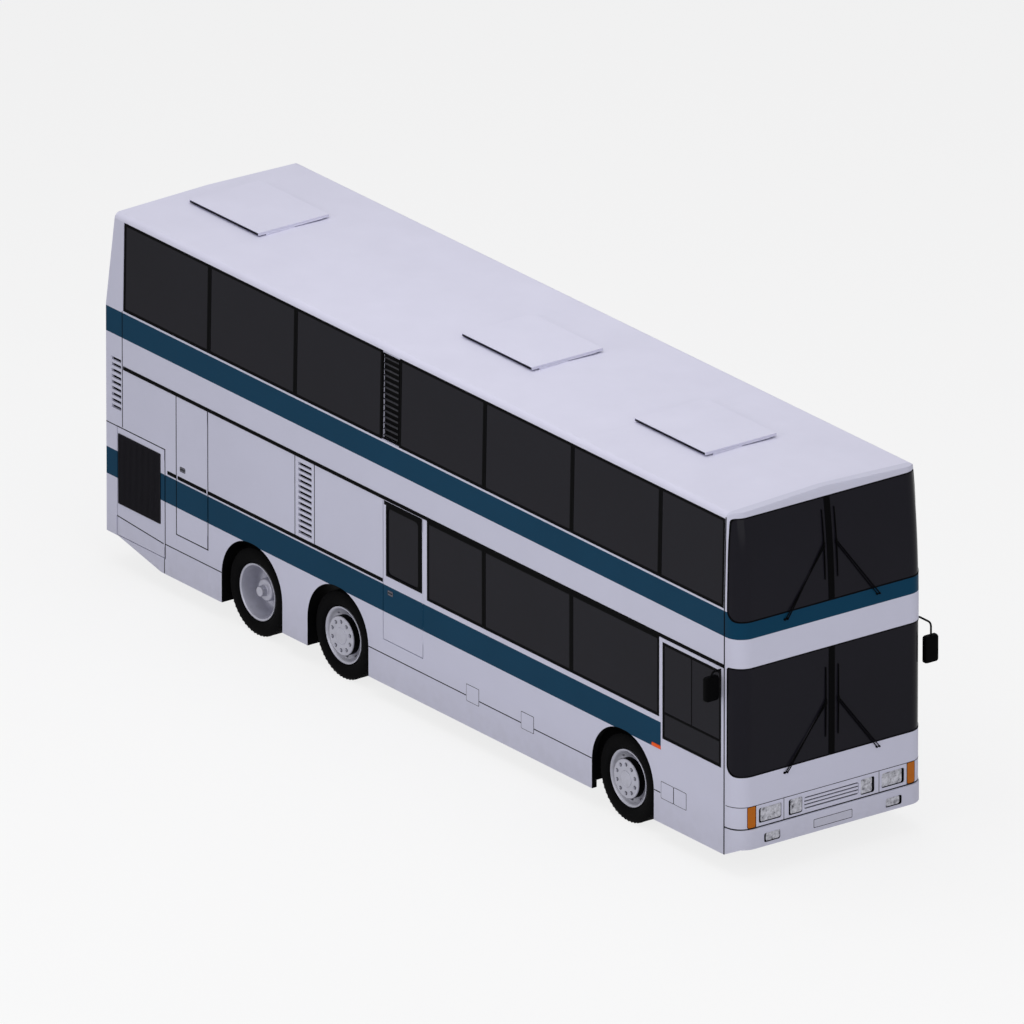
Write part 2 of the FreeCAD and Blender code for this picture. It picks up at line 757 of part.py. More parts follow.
bumper_sizes = {
    "front_bumper_top": 530, "front_bumper_low": 310, "bumper_thick": 70, "bumper_slope": 200,
    "rear_bumper_low": 387, "rear_bumper_top": 622, "rear_bumper_wrap": 184, "rear_bumper_round": 60,
    "rear_bumper_proud": 6, "fog_in": 690, "fog_out": 920, "fog_low": 345, "fog_high": 465, "fog_deep": 30,
    "fog_inset": 4,
}
its.add(bumper_sizes)


def front_bumper():
    owner = body("front_bumper")
    plan = sketch(owner, "front_bumper_plan", "XY", its.skirt_up)
    front = seam_x + its.front_reach
    curve = its.nose_round + its.front_reach - its.nose_deep
    inner_curve = curve - its.bumper_thick
    outline(plan, [
        (seam_x, -half), (front, -half, curve), (front, half, curve), (seam_x, half),
        (seam_x, half - its.bumper_thick), (front - its.bumper_thick, half - its.bumper_thick, inner_curve),
        (front - its.bumper_thick, -(half - its.bumper_thick), inner_curve), (seam_x, -(half - its.bumper_thick))])
    pad(owner, plan, its.front_bumper_top - its.skirt_up)
    slope = sketch(owner, "front_bumper_slope", "XZ")
    outline(slope, [
        (seam_x, its.skirt_up), (seam_x + its.bumper_slope, its.front_bumper_low),
        (front + its.cut_over, its.front_bumper_low), (front + its.cut_over, its.skirt_up - its.cut_over),
        (seam_x, its.skirt_up - its.cut_over)])
    pocket(owner, slope, its.body_wide * 2).Midplane = True
    lenses = []
    for side in (right, left):
        across = span_y(side, its.fog_in, its.fog_out)
        hole = sketch(owner, "fog_hole_%d" % (side > 0), "YZ", front - its.fog_deep)
        window(hole, across, (its.fog_low, its.fog_high))
        pocket(owner, hole, its.fog_deep + its.cut_over, True)
        lenses.append(box("fog_lens_%d" % (side > 0), (front - its.fog_deep, front - its.fog_inset), across,
                          (its.fog_low, its.fog_high)))
    keep("front_bumper", owner)
    keep("front_lamps", group("front_lamps_all", [pieces["front_lamps"]] + lenses))


def rear_bumper():
    owner = body("rear_bumper")
    plan = sketch(owner, "rear_bumper_plan", "XY", its.rear_bumper_low)
    rear = rear_x - its.rear_reach
    front = rear_x + its.rear_bumper_wrap
    side = half + its.rear_bumper_proud
    outline(plan, [
        (rear, -side, its.rear_bumper_round), (front, -side), (front, -half), (rear_x, -half),
        (rear_x, half), (front, half), (front, side), (rear, side, its.rear_bumper_round)])
    pad(owner, plan, its.rear_bumper_top - its.rear_bumper_low)
    keep("rear_bumper", owner)


front_bumper()
rear_bumper()


# Rear panel between the side walls, with the upper window and the engine opening

rear_sizes = {
    "rear_foot": 640, "rear_step_up": 1030, "rear_step_in": 30, "rear_window_half": 1050,
    "rear_window_sill": 3100, "rear_head_drop": 120, "cover_half": 860, "cover_foot": 690,
    "cover_head": 1720, "tail_in": 960, "tail_out": 1120, "tail_low": 1090, "tail_high": 1640,
}
its.add(rear_sizes)
rear_window_head = its.cant_up - its.rear_head_drop


def rear_slice(item, outer_cut, inner_cut, low, high):
    rate = its.rear_lean_in / (its.cant_up + its.cut_over - its.seat_line_up)
    lean = rate * (high - its.seat_line_up)
    outline(item, [(rear_x + outer_cut, low), (rear_x + inner_cut, low), (rear_x + inner_cut, its.seat_line_up),
                   (rear_x + inner_cut + lean, high), (rear_x + outer_cut + lean, high),
                   (rear_x + outer_cut, its.seat_line_up)])


def rear_panel():
    owner = body("rear_panel")
    profile = sketch(owner, "rear_profile", "XZ", -wall_in)
    rear_slice(profile, zero, its.wall_thick, its.rear_foot, its.cant_up)
    pad(owner, profile, wall_in * 2)
    step = sketch(owner, "rear_step", "XZ", -wall_in)
    window(step, (rear_x - its.cut_over, rear_x + its.rear_step_in),
           (its.rear_foot - its.cut_over, its.rear_step_up))
    pocket(owner, step, wall_in * 2, True)
    holes = sketch(owner, "rear_holes", "YZ", rear_x + its.rear_lean_in + its.wall_thick + its.cut_over)
    frame = its.pillar_half / 2
    window(holes, (-(its.rear_window_half - frame), its.rear_window_half - frame),
           (its.rear_window_sill + frame, rear_window_head - frame), its.window_round)
    window(holes, (-(its.cover_half + its.door_gap), its.cover_half + its.door_gap),
           (its.cover_foot - its.door_gap, its.cover_head + its.door_gap))
    for low_y, high_y in ((its.tail_in, its.tail_out), (-its.tail_out, -its.tail_in)):
        window(holes, (low_y, high_y), (its.tail_low, its.tail_high))
    pocket(owner, holes, its.rear_lean_in + its.wall_thick + its.cut_over * 3)
    for side in (right, left):
        trim = sketch(owner, "rear_trim_%d" % (side > 0), "YZ", rear_x + its.rear_lean_in + its.wall_thick
                      + its.cut_over)
        outline(trim, [
            (plus_minus(side, wall_in), its.seat_line_up),
            (plus_minus(side, wall_in - its.tumble_in), its.cant_up),
            (plus_minus(side, wall_in - its.tumble_in), its.cant_up + its.cut_over),
            (plus_minus(side, wall_in + its.cut_over), its.cant_up + its.cut_over),
            (plus_minus(side, wall_in + its.cut_over), its.seat_line_up)])
        pocket(owner, trim, its.rear_lean_in + its.wall_thick + its.cut_over * 3)
    keep("rear_panel", owner)


def rear_glass():
    profile = sketch(None, "rear_glass_profile", "XZ", -wall_in)
    frame = its.pillar_half / 2
    rear_slice(profile, zero, its.glass_thick, its.seat_line_up - its.cut_over, its.cant_up)
    skin = extrude("rear_glass_skin", profile, wall_in * 2)
    shape = sketch(None, "rear_glass_shape", "YZ", rear_x - its.cut_over)
    window(shape, (-(its.rear_window_half - frame), its.rear_window_half - frame),
           (its.rear_window_sill + frame, rear_window_head - frame), its.window_round)
    plate = extrude("rear_glass_plate", shape, its.rear_lean_in + its.wall_thick + its.cut_over)
    keep("rear_glass", common("rear_glass", skin, plate))


def tail_lamps():
    shape = sketch(None, "tail_lamp_shape", "YZ", rear_x - its.glass_thick)
    for low_y, high_y in ((its.tail_in, its.tail_out), (-its.tail_out, -its.tail_in)):
        window(shape, (low_y, high_y), (its.tail_low, its.tail_high))
    keep("tail_lamps", extrude("tail_lamps", shape, its.wall_thick + its.glass_thick))


rear_panel()
rear_glass()
tail_lamps()


# Floors, chassis, stairs, engine and tank

floor_sizes = {
    "rail_in": 360, "rail_out": 430, "rail_low": 560, "rail_high": 700, "floor_thick": 35,
    "rail_front_back": 60, "rail_ahead": 101, "cross_wide": 90, "cross_high": 80,
    "boot_floor_up": 1090, "boot_front_back": 6110, "boot_rear_back": 8960, "well_ahead": 1131,
    "wheel_box_half": 650, "wheel_box_in": 560, "wheel_box_up": 1100, "box_skin": 20,
    "upper_floor_low": 2380, "upper_floor_high": 2460, "stair_front_back": 2520, "stair_rear_back": 3900,
    "stair_in": 560, "stair_steps": 8, "stair_tread": 172, "engine_ahead": 1081, "engine_long": 860,
    "engine_low": 370, "engine_high": 1330, "tank_front_back": 2480, "tank_long": 1720, "tank_in": 500,
    "tank_out": 1050, "tank_low": 300, "inner_gap": 1, "tow_thick": 30, "tow_reach": 120, "tow_half": 60,
    "tow_ahead": 60, "tow_radius": 20, "pad_front_back": 3120,
    "pad_ahead": 1461, "pad_long": 150, "pad_thick": 12, "floor_nose": 20, "upper_nose_reach": 150,
    "upper_nose_in": 160,
}
its.add(floor_sizes)
engine_front_back = ahead(its.engine_ahead)
rail_rear_back = ahead(its.rail_ahead)
well_rear_back = ahead(its.well_ahead)
pad_rear_back = ahead(its.pad_ahead)
floor_top = its.rail_high + its.floor_thick


def chassis_frame():
    """Two rails, and cross members in three lengths that butt against them."""
    parts = []
    for side in (right, left):
        across = span_y(side, its.rail_in, its.rail_out)
        parts.append(box("rail_%d" % len(parts), (back(rail_rear_back), back(its.rail_front_back)), across,
                         (its.rail_low, its.rail_high)))
    spots = {
        "nose": its.rail_front_back + its.cross_wide, "stairs": its.stair_front_back,
        "tank": its.tank_front_back + its.tank_long, "middle": its.middle_axle_back - its.arch_half * 2,
        "axles": (its.middle_axle_back + its.rear_axle_back) / 2, "engine": engine_front_back - its.cross_wide,
        "tail": rail_rear_back}
    for name, distance in spots.items():
        for place_name, across in (("right", (-wall_in, -its.rail_out)), ("middle", (-its.rail_in, its.rail_in)),
                                   ("left", (its.rail_out, wall_in))):
            parts.append(box("cross_%s_%s" % (name, place_name), (back(distance), back(distance - its.cross_wide)),
                             across, (its.rail_high - its.cross_high, its.rail_high)))
    lug_up = (its.rail_high - its.cross_high, its.rail_high - its.cross_high + its.tow_thick)
    lug = box("tow_lug", (back(its.rail_front_back), seam_x + its.tow_reach), (-its.tow_half, its.tow_half), lug_up)
    eye = rod("tow_eye", (seam_x + its.tow_ahead, zero, lug_up[0] - its.cut_over),
              its.tow_thick + its.cut_over * 2, its.tow_radius)
    for side in (right, left):
        across = span_y(side, its.rail_in, its.rail_out)
        for distance in (its.pad_front_back, pad_rear_back):
            parts.append(box("jack_pad_%d" % len(parts), (back(distance + its.pad_long), back(distance)), across,
                             (its.rail_low - its.pad_thick, its.rail_low)))
    keep("chassis_frame", group("chassis_frame", parts))
    keep("towing_eye", cut("towing_eye", lug, eye))


def boot_floor():
    parts = [
        box("floor_boot", (back(its.boot_rear_back), back(its.boot_front_back - its.floor_thick)),
            (-wall_in, wall_in), (its.boot_floor_up, its.boot_floor_up + its.floor_thick)),
        box("boot_wall", (back(its.boot_front_back), back(its.boot_front_back - its.floor_thick)),
            (-wall_in, wall_in), (its.rail_high, its.upper_floor_low)),
        box("well_riser", (back(its.boot_rear_back), back(its.boot_rear_back - its.floor_thick)),
            (-wall_in, wall_in), (its.rail_high, its.boot_floor_up)),
        box("well_floor", (back(well_rear_back), back(its.boot_rear_back)), (-wall_in, wall_in),
            (its.rail_high, floor_top)),
        box("well_wall", (back(well_rear_back), back(well_rear_back - its.floor_thick)),
            (-wall_in, wall_in), (its.rail_high, its.upper_floor_low)),
    ]
    keep("boot_floor", fuse("boot_floor", parts))


def lower_floor():
    solid = box("floor_front", (back(its.boot_front_back - its.floor_thick), seam_x + its.floor_nose),
                (-wall_in, wall_in), (its.rail_high, floor_top))
    holes, boxes = [], []
    for side in (right, left):
        across = span_y(side, its.wheel_box_in, wall_in)
        span = (back(its.front_axle_back + its.wheel_box_half), back(its.front_axle_back - its.wheel_box_half))
        inner = (span[0] + its.box_skin, span[1] - its.box_skin)
        inner_across = span_y(side, its.wheel_box_in + its.box_skin, wall_in + its.cut_over)
        boxes.append(box("wheel_box_%d" % len(boxes), span, across, (its.rail_high, its.wheel_box_up)))
        holes.append(box("wheel_space_%d" % len(holes), inner, inner_across,
                         (its.rail_high - its.cut_over, its.wheel_box_up - its.box_skin)))
    step = box("step_space", (back(its.entrance_front + its.entrance_long), back(its.entrance_front)),
               (wall_in - its.wheel_box_in, wall_in + its.cut_over), (its.rail_high - its.cut_over,
                                                                      floor_top + its.cut_over))
    whole = fuse("floor_with_boxes", [solid] + boxes)
    keep("lower_floor", cut("lower_floor", whole, fuse("floor_holes", holes + [step])))


def upper_floor():
    slab = box("upper_slab", (rear_x + its.wall_thick, seam_x), (-wall_in, wall_in),
               (its.upper_floor_low, its.upper_floor_high))
    nose = box("upper_nose", (seam_x, seam_x + its.upper_nose_reach),
               (-(wall_in - its.upper_nose_in), wall_in - its.upper_nose_in),
               (its.upper_floor_low, its.upper_floor_high))
    hole = box("stair_hole", (back(its.stair_rear_back), back(its.stair_front_back)),
               (-wall_in - its.cut_over, -its.stair_in), (its.upper_floor_low - its.cut_over,
                                                         its.upper_floor_high + its.cut_over))
    keep("upper_floor", cut("upper_floor", fuse("upper_whole", [slab, nose]), hole))


def staircase():
    owner = body("staircase")
    shape = sketch(owner, "stair_shape", "XZ", its.stair_in + its.inner_gap)
    steps = int(number(its.stair_steps))
    rise = (its.upper_floor_high - floor_top) / its.stair_steps
    start = back(its.stair_rear_back)
    corners = [(start, floor_top)]
    for count in range(steps):
        corners.append((start + its.stair_tread * count, floor_top + rise * (count + 1)))
        corners.append((start + its.stair_tread * (count + 1), floor_top + rise * (count + 1)))
    corners.append((start + its.stair_tread * steps, floor_top + rise * (steps - 1)))
    corners.append((start + its.stair_tread, floor_top))
    outline(shape, corners)
    pad(owner, shape, wall_in - its.stair_in - its.inner_gap * 2)
    keep("staircase", owner)


def engine():
    keep("engine", box("engine", (back(engine_front_back + its.engine_long), back(engine_front_back)),
                       (-its.rail_in, its.rail_in), (its.engine_low, its.engine_high)))


def fuel_tank():
    keep("fuel_tank", box("fuel_tank", (back(its.tank_front_back + its.tank_long), back(its.tank_front_back)),
                          span_y(right, its.tank_in, its.tank_out), (its.tank_low, its.rail_high - its.cross_high)))


chassis_frame()
lower_floor()
boot_floor()
upper_floor()
staircase()
engine()
fuel_tank()


# Axles, knuckles and wheels

running_sizes = {
    "beam_high": 110, "beam_deep": 100, "spindle_radius": 45, "king_y": 860, "king_radius": 24,
    "king_high": 120, "king_clear": 68, "boss_radius": 50, "boss_high": 100, "yoke_thick": 36, "yoke_wide": 96,
    "axle_tube": 70, "diff_radius": 185, "diff_wide": 260,
    "saddle_wide": 90, "saddle_long": 200,
    "rim_radius": 300, "rim_skin": 12, "rim_wide": 240, "tread_half": 120,
    "shoulder_in": 6, "shoulder_high": 34, "bead_half": 96, "disc_thick": 16, "disc_out": 70, "hub_face": 92,
    "hole_ring": 218, "hole_sides": 6, "boss_ring": 165, "hub_start": 20, "twin_hub": 20, "hole_radius": 24, "hole_count": 10, "cap_radius": 96, "twin_disc": 22,
    "bead_gap": 0.3,
}
its.add(running_sizes)
wheel_up = its.wheel_radius
slim_tube_share = 0.8


def saddles(name, distance):
    parts = []
    for side in (right, left):
        across = span_y(side, its.rail_in - its.saddle_wide / 2, its.rail_out + its.saddle_wide / 2)
        parts.append(box("%s_saddle_%d" % (name, len(parts)),
                         (back(distance + its.saddle_long / 2), back(distance - its.saddle_long / 2)), across,
                         (wheel_up + its.beam_high / 2, its.rail_low)))
    return parts


def front_axle():
    distance = its.front_axle_back
    deep = (back(distance + its.beam_deep / 2), back(distance - its.beam_deep / 2))
    parts = [box("front_beam", deep, (-its.king_y, its.king_y),
                 (wheel_up - its.beam_high / 2, wheel_up + its.beam_high / 2))]
    holes = []
    for side in (right, left):
        spot = (back(distance), plus_minus(side, its.king_y), wheel_up - its.boss_high / 2)
        parts.append(rod("king_boss_%d" % len(holes), spot, its.boss_high, its.boss_radius))
        spot = (back(distance), plus_minus(side, its.king_y), wheel_up - its.boss_high)
        holes.append(rod("king_bore_%d" % len(holes), spot, its.boss_high * 2, its.king_radius + its.run_gap))
        across = span_y(side, its.king_y - its.king_clear, its.king_y + its.king_clear)
        for low in (wheel_up - its.beam_high, wheel_up + its.boss_high / 2):
            holes.append(box("king_trim_%d" % len(holes), (back(distance + its.king_clear),
                                                           back(distance - its.king_clear)), across,
                             (low, low + its.beam_high - its.boss_high / 2)))
    whole = fuse("front_axle_whole", parts + saddles("front", distance))
    keep("front_axle", cut("front_axle", whole, fuse("front_axle_holes", holes)))


def knuckle(name, side):
    distance = its.front_axle_back
    middle = (back(distance), plus_minus(side, its.king_y))
    parts = [rod(name + "_pin", middle + (wheel_up - its.king_high / 2,), its.king_high, its.king_radius)]
    low = wheel_up - its.boss_high / 2 - its.run_gap - its.yoke_thick
    high = wheel_up + its.boss_high / 2 + its.run_gap
    deep = (back(distance + its.yoke_wide / 2), back(distance - its.yoke_wide / 2))
    reach = its.king_y + its.boss_radius + its.yoke_thick
    for level, floor in (("low", low), ("high", high)):
        parts.append(box("%s_yoke_%s" % (name, level), deep,
                         span_y(side, its.king_y - its.yoke_thick, reach), (floor, floor + its.yoke_thick)))
    parts.append(box(name + "_back", deep, span_y(side, reach - its.yoke_thick + its.inner_gap * 3, reach),
                     (low, high + its.yoke_thick)))
    start = reach if side == left else -(wheel_y + its.hub_face)
    parts.append(rod(name + "_spindle", (middle[0], start, wheel_up), wheel_y + its.hub_face - reach,
                     its.spindle_radius, "y"))
    keep(name, fuse(name, parts))


def fixed_axle(name, distance, tube, reach):
    parts = [prism(name + "_tube", (back(distance), -reach, wheel_up), reach * 2, tube, its.bar_sides, "y")]
    long = wheel_y + its.hub_face - reach
    for side in (right, left):
        start = reach if side == left else -(reach + long)
        parts.append(rod("%s_spindle_%d" % (name, len(parts)), (back(distance), start, wheel_up), long,
                         its.spindle_radius, "y"))
        across = span_y(side, its.rail_in - its.saddle_wide / 2, its.rail_out + its.saddle_wide / 2)
        parts.append(box("%s_seat_%d" % (name, len(parts)),
                         (back(distance + its.saddle_long / 2), back(distance - its.saddle_long / 2)), across,
                         (wheel_up, its.rail_low)))
    return parts


def rear_axles():
    keep("middle_axle", fuse("middle_axle", fixed_axle(
        "middle", its.middle_axle_back, its.axle_tube * slim_tube_share, wheel_y - its.rim_wide / 2)))
    parts = fixed_axle("rear", its.rear_axle_back, its.axle_tube, wheel_y - its.twin_step - its.rim_wide / 2)
    parts.append(prism("rear_diff", (back(its.rear_axle_back), -its.diff_wide / 2, wheel_up), its.diff_wide,
                       its.diff_radius, its.hub_sides, "y"))
    keep("rear_axle", fuse("rear_axle", parts))


def tyre_ring(name, spot):
    """One tyre: bead, bulged side walls and shoulders round a flat tread, with flats round it."""
    waist = (its.rim_radius + its.wheel_radius) / 2
    face = [(its.bead_half, its.rim_radius + its.bead_gap), (its.tyre_wide / 2, waist),
            (its.tyre_wide / 2 - its.shoulder_in, its.wheel_radius - its.shoulder_high),
            (its.tread_half, its.wheel_radius)]
    return turned(name, spot, [(-across, radius) for across, radius in face] + face[::-1], its.tyre_sides)


def tyre(name, distance, side, twin):
    spot = (back(distance), plus_minus(side, wheel_y), wheel_up)
    if not twin:
        keep(name, tyre_ring(name, spot))
        return
    inner_spot = (spot[0], plus_minus(side, wheel_y - its.twin_step), spot[2])
    keep(name, group(name, [tyre_ring(name + "_outer", spot), tyre_ring(name + "_inner", inner_spot)]))


def rim(name, distance, side, twin):
    """A drum with a disc: single rims carry it near the outer face, twin rims share one deep inside."""
    def across(low, high):
        """Start and length of a bar across the coach between two distances outwards of the wheel's middle."""
        start = plus_minus(side, wheel_y) + (low if side == left else -high)
        return (back(distance), start, wheel_up), high - low

    barrel = its.rim_wide / 2
    inner = its.rim_radius - its.rim_skin
    parts, holes = [], []
    if twin:
        reach = -(its.twin_step + barrel)
        disc = (-(its.twin_step + its.twin_disc) / 2, -(its.twin_step - its.twin_disc) / 2)
        hub = (disc[0] - its.twin_disc, its.twin_hub)
    else:
        reach = -barrel
        disc = (its.disc_out - its.disc_thick, its.disc_out)
        hub = (its.hub_start, its.hub_face)
        spot, long = across(its.disc_out, its.disc_out + its.disc_thick)
        parts.append(prism(name + "_boss", spot, long, its.boss_ring, its.rim_sides, "y"))
    spot, long = across(reach, barrel)
    parts.append(prism(name + "_drum", spot, long, its.rim_radius, its.rim_sides, "y"))
    for part_no, span in enumerate(((reach - its.cut_over, disc[0]), (disc[1], barrel + its.cut_over))):
        spot, long = across(*span)
        holes.append(prism("%s_hollow_%d" % (name, part_no), spot, long, inner, its.rim_sides, "y"))
    drum = cut(name + "_dish", parts.pop(), fuse(name + "_hollows", holes))
    spot, long = across(*hub)
    parts.append(prism(name + "_hub", spot, long, its.cap_radius, its.hub_sides, "y"))
    spot, long = across(hub[0] - its.cut_over, hub[1] + its.cut_over)
    tools = [rod(name + "_bore", spot, long, its.spindle_radius + its.run_gap, "y")]
    hole_count = 0 if twin else int(number(its.hole_count))
    for hole_no in range(hole_count):
        angle = 2 * math.pi * hole_no / hole_count
        spot, long = across(disc[0] - its.cut_over, disc[1] + its.cut_over)
        centre = (spot[0] + its.hole_ring * math.cos(angle), spot[1], spot[2] + its.hole_ring * math.sin(angle))
        tools.append(prism("%s_hole_%d" % (name, hole_no), centre, long, its.hole_radius, its.hole_sides, "y"))
    keep(name, cut(name, fuse(name + "_whole", [drum] + parts), fuse(name + "_tools", tools)))


front_axle()
knuckle("knuckle_right", right)
knuckle("knuckle_left", left)
rear_axles()
for axle_name, axle_back in axles.items():
    for side_name, side_sign in (("right", right), ("left", left)):
        tyre("tyre_%s_%s" % (axle_name, side_name), axle_back, side_sign, axle_name == "rear")
        rim("rim_%s_%s" % (axle_name, side_name), axle_back, side_sign, axle_name == "rear")


# Doors and lids

def door(name, side, front, along, low, high, glass_name=None):
    span = (back(front + along), back(front))
    slab = box(name + "_slab", span, span_y(side, wall_in, half), (low, high))
    tools = []
    if glass_name:
        frame = its.pillar_half
        shape = sketch(None, name + "_window", "XZ", plus_minus(side, -wall_in + its.cut_over))
        sill = its.lower_sill if side == right else low + frame * 2
        window(shape, (span[0] + frame, span[1] - frame), (sill + frame, high - frame))
        tools.append(extrude(name + "_hole", shape, its.wall_thick + its.cut_over * 2, side == left))
        panes = sketch(None, name + "_pane", "XZ", plus_minus(side, -(half - its.glass_thick * 2)))
        window(panes, (span[0] + frame, span[1] - frame), (sill + frame, high - frame))
        keep(glass_name, extrude(glass_name, panes, its.glass_thick, side == left))
    moving = hinge(name + "_hinge", False, span[1] + its.door_gap / 2, side, low, high)
    solid = cut(name + "_open", slab, tools[0]) if tools else slab
    keep(name, fuse(name, [solid] + moving))


door("passenger_door", left, its.entrance_front, its.entrance_long, its.entrance_foot, its.entrance_head,
     "passenger_door_glass")
door("emergency_door", right, its.emergency_front, its.emergency_long, its.emergency_foot, its.door_head,
     "emergency_door_glass")


def radiator_door(name, side):
    """A door with upright bars, and between them slots for the air to the radiator."""
    door(name, side, radiator_front, its.radiator_long, its.radiator_foot, its.radiator_head)
    room = its.radiator_long - its.radiator_rail - its.radiator_edge
    pitch = its.radiator_slot + its.radiator_bar
    slots = []
    for count in range(int(number(room) / number(pitch))):
        front = radiator_front + its.radiator_rail + pitch * count
        slots.append(box("%s_slot_%d" % (name, count), (back(front + its.radiator_slot), back(front)),
                         span_y(side, wall_in - its.cut_over, half + its.cut_over),
                         (its.radiator_slot_low, its.radiator_slot_high)))
    keep(name, cut(name + "_slotted", pieces[name], group(name + "_slots", slots)))


for side_name, side_sign in (("right", right), ("left", left)):
    door("luggage_door_" + side_name, side_sign, luggage_front, its.luggage_long, its.luggage_foot,
         its.door_head)
    radiator_door("radiator_door_" + side_name, side_sign)


def lying_hinge(name, fixed, x_spot, z_spot, wide, leaf_along, leaf_up):
    """Half of a hinge whose pin lies across the coach; the leaf joins its barrel to the lid or to the body."""
    long = wide * hinge_share / 2
    start = -long if fixed else zero + its.hinge_gap
    barrel = rod(name + "_barrel", (x_spot, start, z_spot), long, its.hinge_radius, "y")
    return [barrel, box(name + "_leaf", leaf_along, (start, start + long), leaf_up)]


cover_axis_up = its.cover_head + its.door_gap / 2


def cover_hinge(fixed):
    up = (cover_axis_up, cover_axis_up + its.door_gap) if fixed else (
        cover_axis_up - its.door_gap, cover_axis_up)
    return lying_hinge("cover_hinge_%s" % ("fixed" if fixed else "lid"), fixed, rear_x, cover_axis_up,
                       its.cover_half * 2, (rear_x, rear_x + its.leaf_thick), up)


def engine_cover():
    across = (-its.cover_half, its.cover_half)
    lower = box("engine_cover_lower", (rear_x + its.rear_step_in, rear_x + its.wall_thick), across,
                (its.cover_foot, its.rear_step_up))
    upper = box("engine_cover_upper", (rear_x, rear_x + its.wall_thick), across, (its.rear_step_up, its.cover_head))
    keep("engine_cover", fuse("engine_cover", [lower, upper] + cover_hinge(False)))


def hatch_hinge(name, distance, fixed):
    axis_up = roof_up + its.hatch_rise + its.hinge_radius
    axis_x = back(distance) + its.door_gap / 2
    leaf_up = (roof_up - its.roof_thick / 2, axis_up) if fixed else (
        roof_up + its.hatch_rise, axis_up + its.hinge_radius)
    along = (axis_x - its.hinge_radius, axis_x + its.hinge_radius) if fixed else (axis_x - its.door_gap, axis_x)
    return lying_hinge("%s_%s" % (name, "fixed" if fixed else "lid"), fixed, axis_x, axis_up, its.hatch_wide,
                       along, leaf_up)


def roof_hatch(name, distance):
    low = roof_up + its.hatch_rise
    lid = box(name + "_lid", (back(distance + its.hatch_long), back(distance)),
              (-its.hatch_wide / 2, its.hatch_wide / 2), (low, low + its.hatch_thick))
    keep(name, fuse(name, [lid] + hatch_hinge(name, distance, False)))


engine_cover()
for hatch_name, hatch_back in hatches.items():
    roof_hatch("roof_hatch_" + hatch_name, hatch_back)
keep("rear_panel", fuse("rear_panel", [pieces["rear_panel"]] + cover_hinge(True)))
roof_hinges = []
roof_joints = []
for hatch_name, hatch_back in hatches.items():
    roof_hinges += hatch_hinge("roof_hinge_" + hatch_name, hatch_back, True)
    roof_joints += [hatch_back + its.hatch_lip - its.sheet_gap, hatch_back + its.hatch_long - its.hatch_lip]
keep("roof_panel", sheets("roof_sheets", fuse("roof_with_hinges", [pieces["roof_panel"]] + roof_hinges), roof_joints))


# Louvres in the recesses of the side walls

louvre_sizes = {
    "slat_thick": 8, "slat_pitch": 70, "slat_deep": 18,
}
its.add(louvre_sizes)


def side_vents():
    slats = []
    for side in (right, left):
        for along, up in vent_spans:
            count = int((number(up[1]) - number(up[0])) / number(its.slat_pitch))
            for row in range(1, count):
                middle = up[0] + (up[1] - up[0]) * (row / count)
                slats.append(box("slat_%d" % len(slats), along,
                                 span_y(side, half - its.vent_deep, half - its.vent_deep + its.slat_deep),
                                 (middle - its.slat_thick / 2, middle + its.slat_thick / 2)))
    keep("side_vents", group("side_vents", slats))


side_vents()


# Service flaps in the skirt: thin plates proud of the wall

flap_sizes = {
    "flap_front": 4309, "flap_second": 3338, "flap_long": 226, "flap_low": 500, "flap_high": 696,
    "flap_thick": 3, "flap_fore": 655, "flap_fore_long": 222,
}
its.add(flap_sizes)


def service_flaps():
    plates = []
    for side in (right, left):
        for front, along in ((its.flap_front, its.flap_long), (its.flap_second, its.flap_long)):
            plates.append(box("flap_%d" % len(plates), (back(front + along), back(front)),
                              span_y(side, half, half + its.flap_thick), (its.flap_low, its.flap_high)))
    for share in (0, 1):
        front = its.flap_fore + its.flap_fore_long * share + its.inner_gap * share
        plates.append(box("flap_%d" % len(plates), (back(front + its.flap_fore_long), back(front)),
                          span_y(right, half, half + its.flap_thick), (its.flap_low, its.flap_high)))
    keep("service_flaps", group("service_flaps", plates))


service_flaps()


# Wipers: on each half of each screen a blade and two arms from a pivot below the glass

wiper_sizes = {
    "wiper_y": 83, "wiper_pivot_y": 610, "wiper_low_foot": 1350, "wiper_low_top": 2140,
    "wiper_low_pivot": 1070, "wiper_high_foot": 3130, "wiper_high_top": 3900, "wiper_high_pivot": 2810,
    "blade_wide": 18, "blade_deep": 14, "arm_radius": 6, "arm_sides": 4, "pivot_sides": 8, "arm_step": 34,
    "pivot_radius": 16, "wiper_off": 3,
}
its.add(wiper_sizes)


def arm(name, start, end):
    """A square bar from one point to another, its end points given as sizes."""
    line = Vector(*[number(b) - number(a) for a, b in zip(start, end)])
    item = doc.addObject("Part::Prism", name)
    bind(item, "Polygon", its.arm_sides)
    bind(item, "Circumradius", its.arm_radius)
    length = "sqrt(%s)" % " + ".join("(%s - %s)^2" % (b.text, a.text) for a, b in zip(start, end))
    bind(item, "Height", Size(line.Length, length))
    return place(item, start, FreeCAD.Rotation(Vector(0, 0, 1), line))


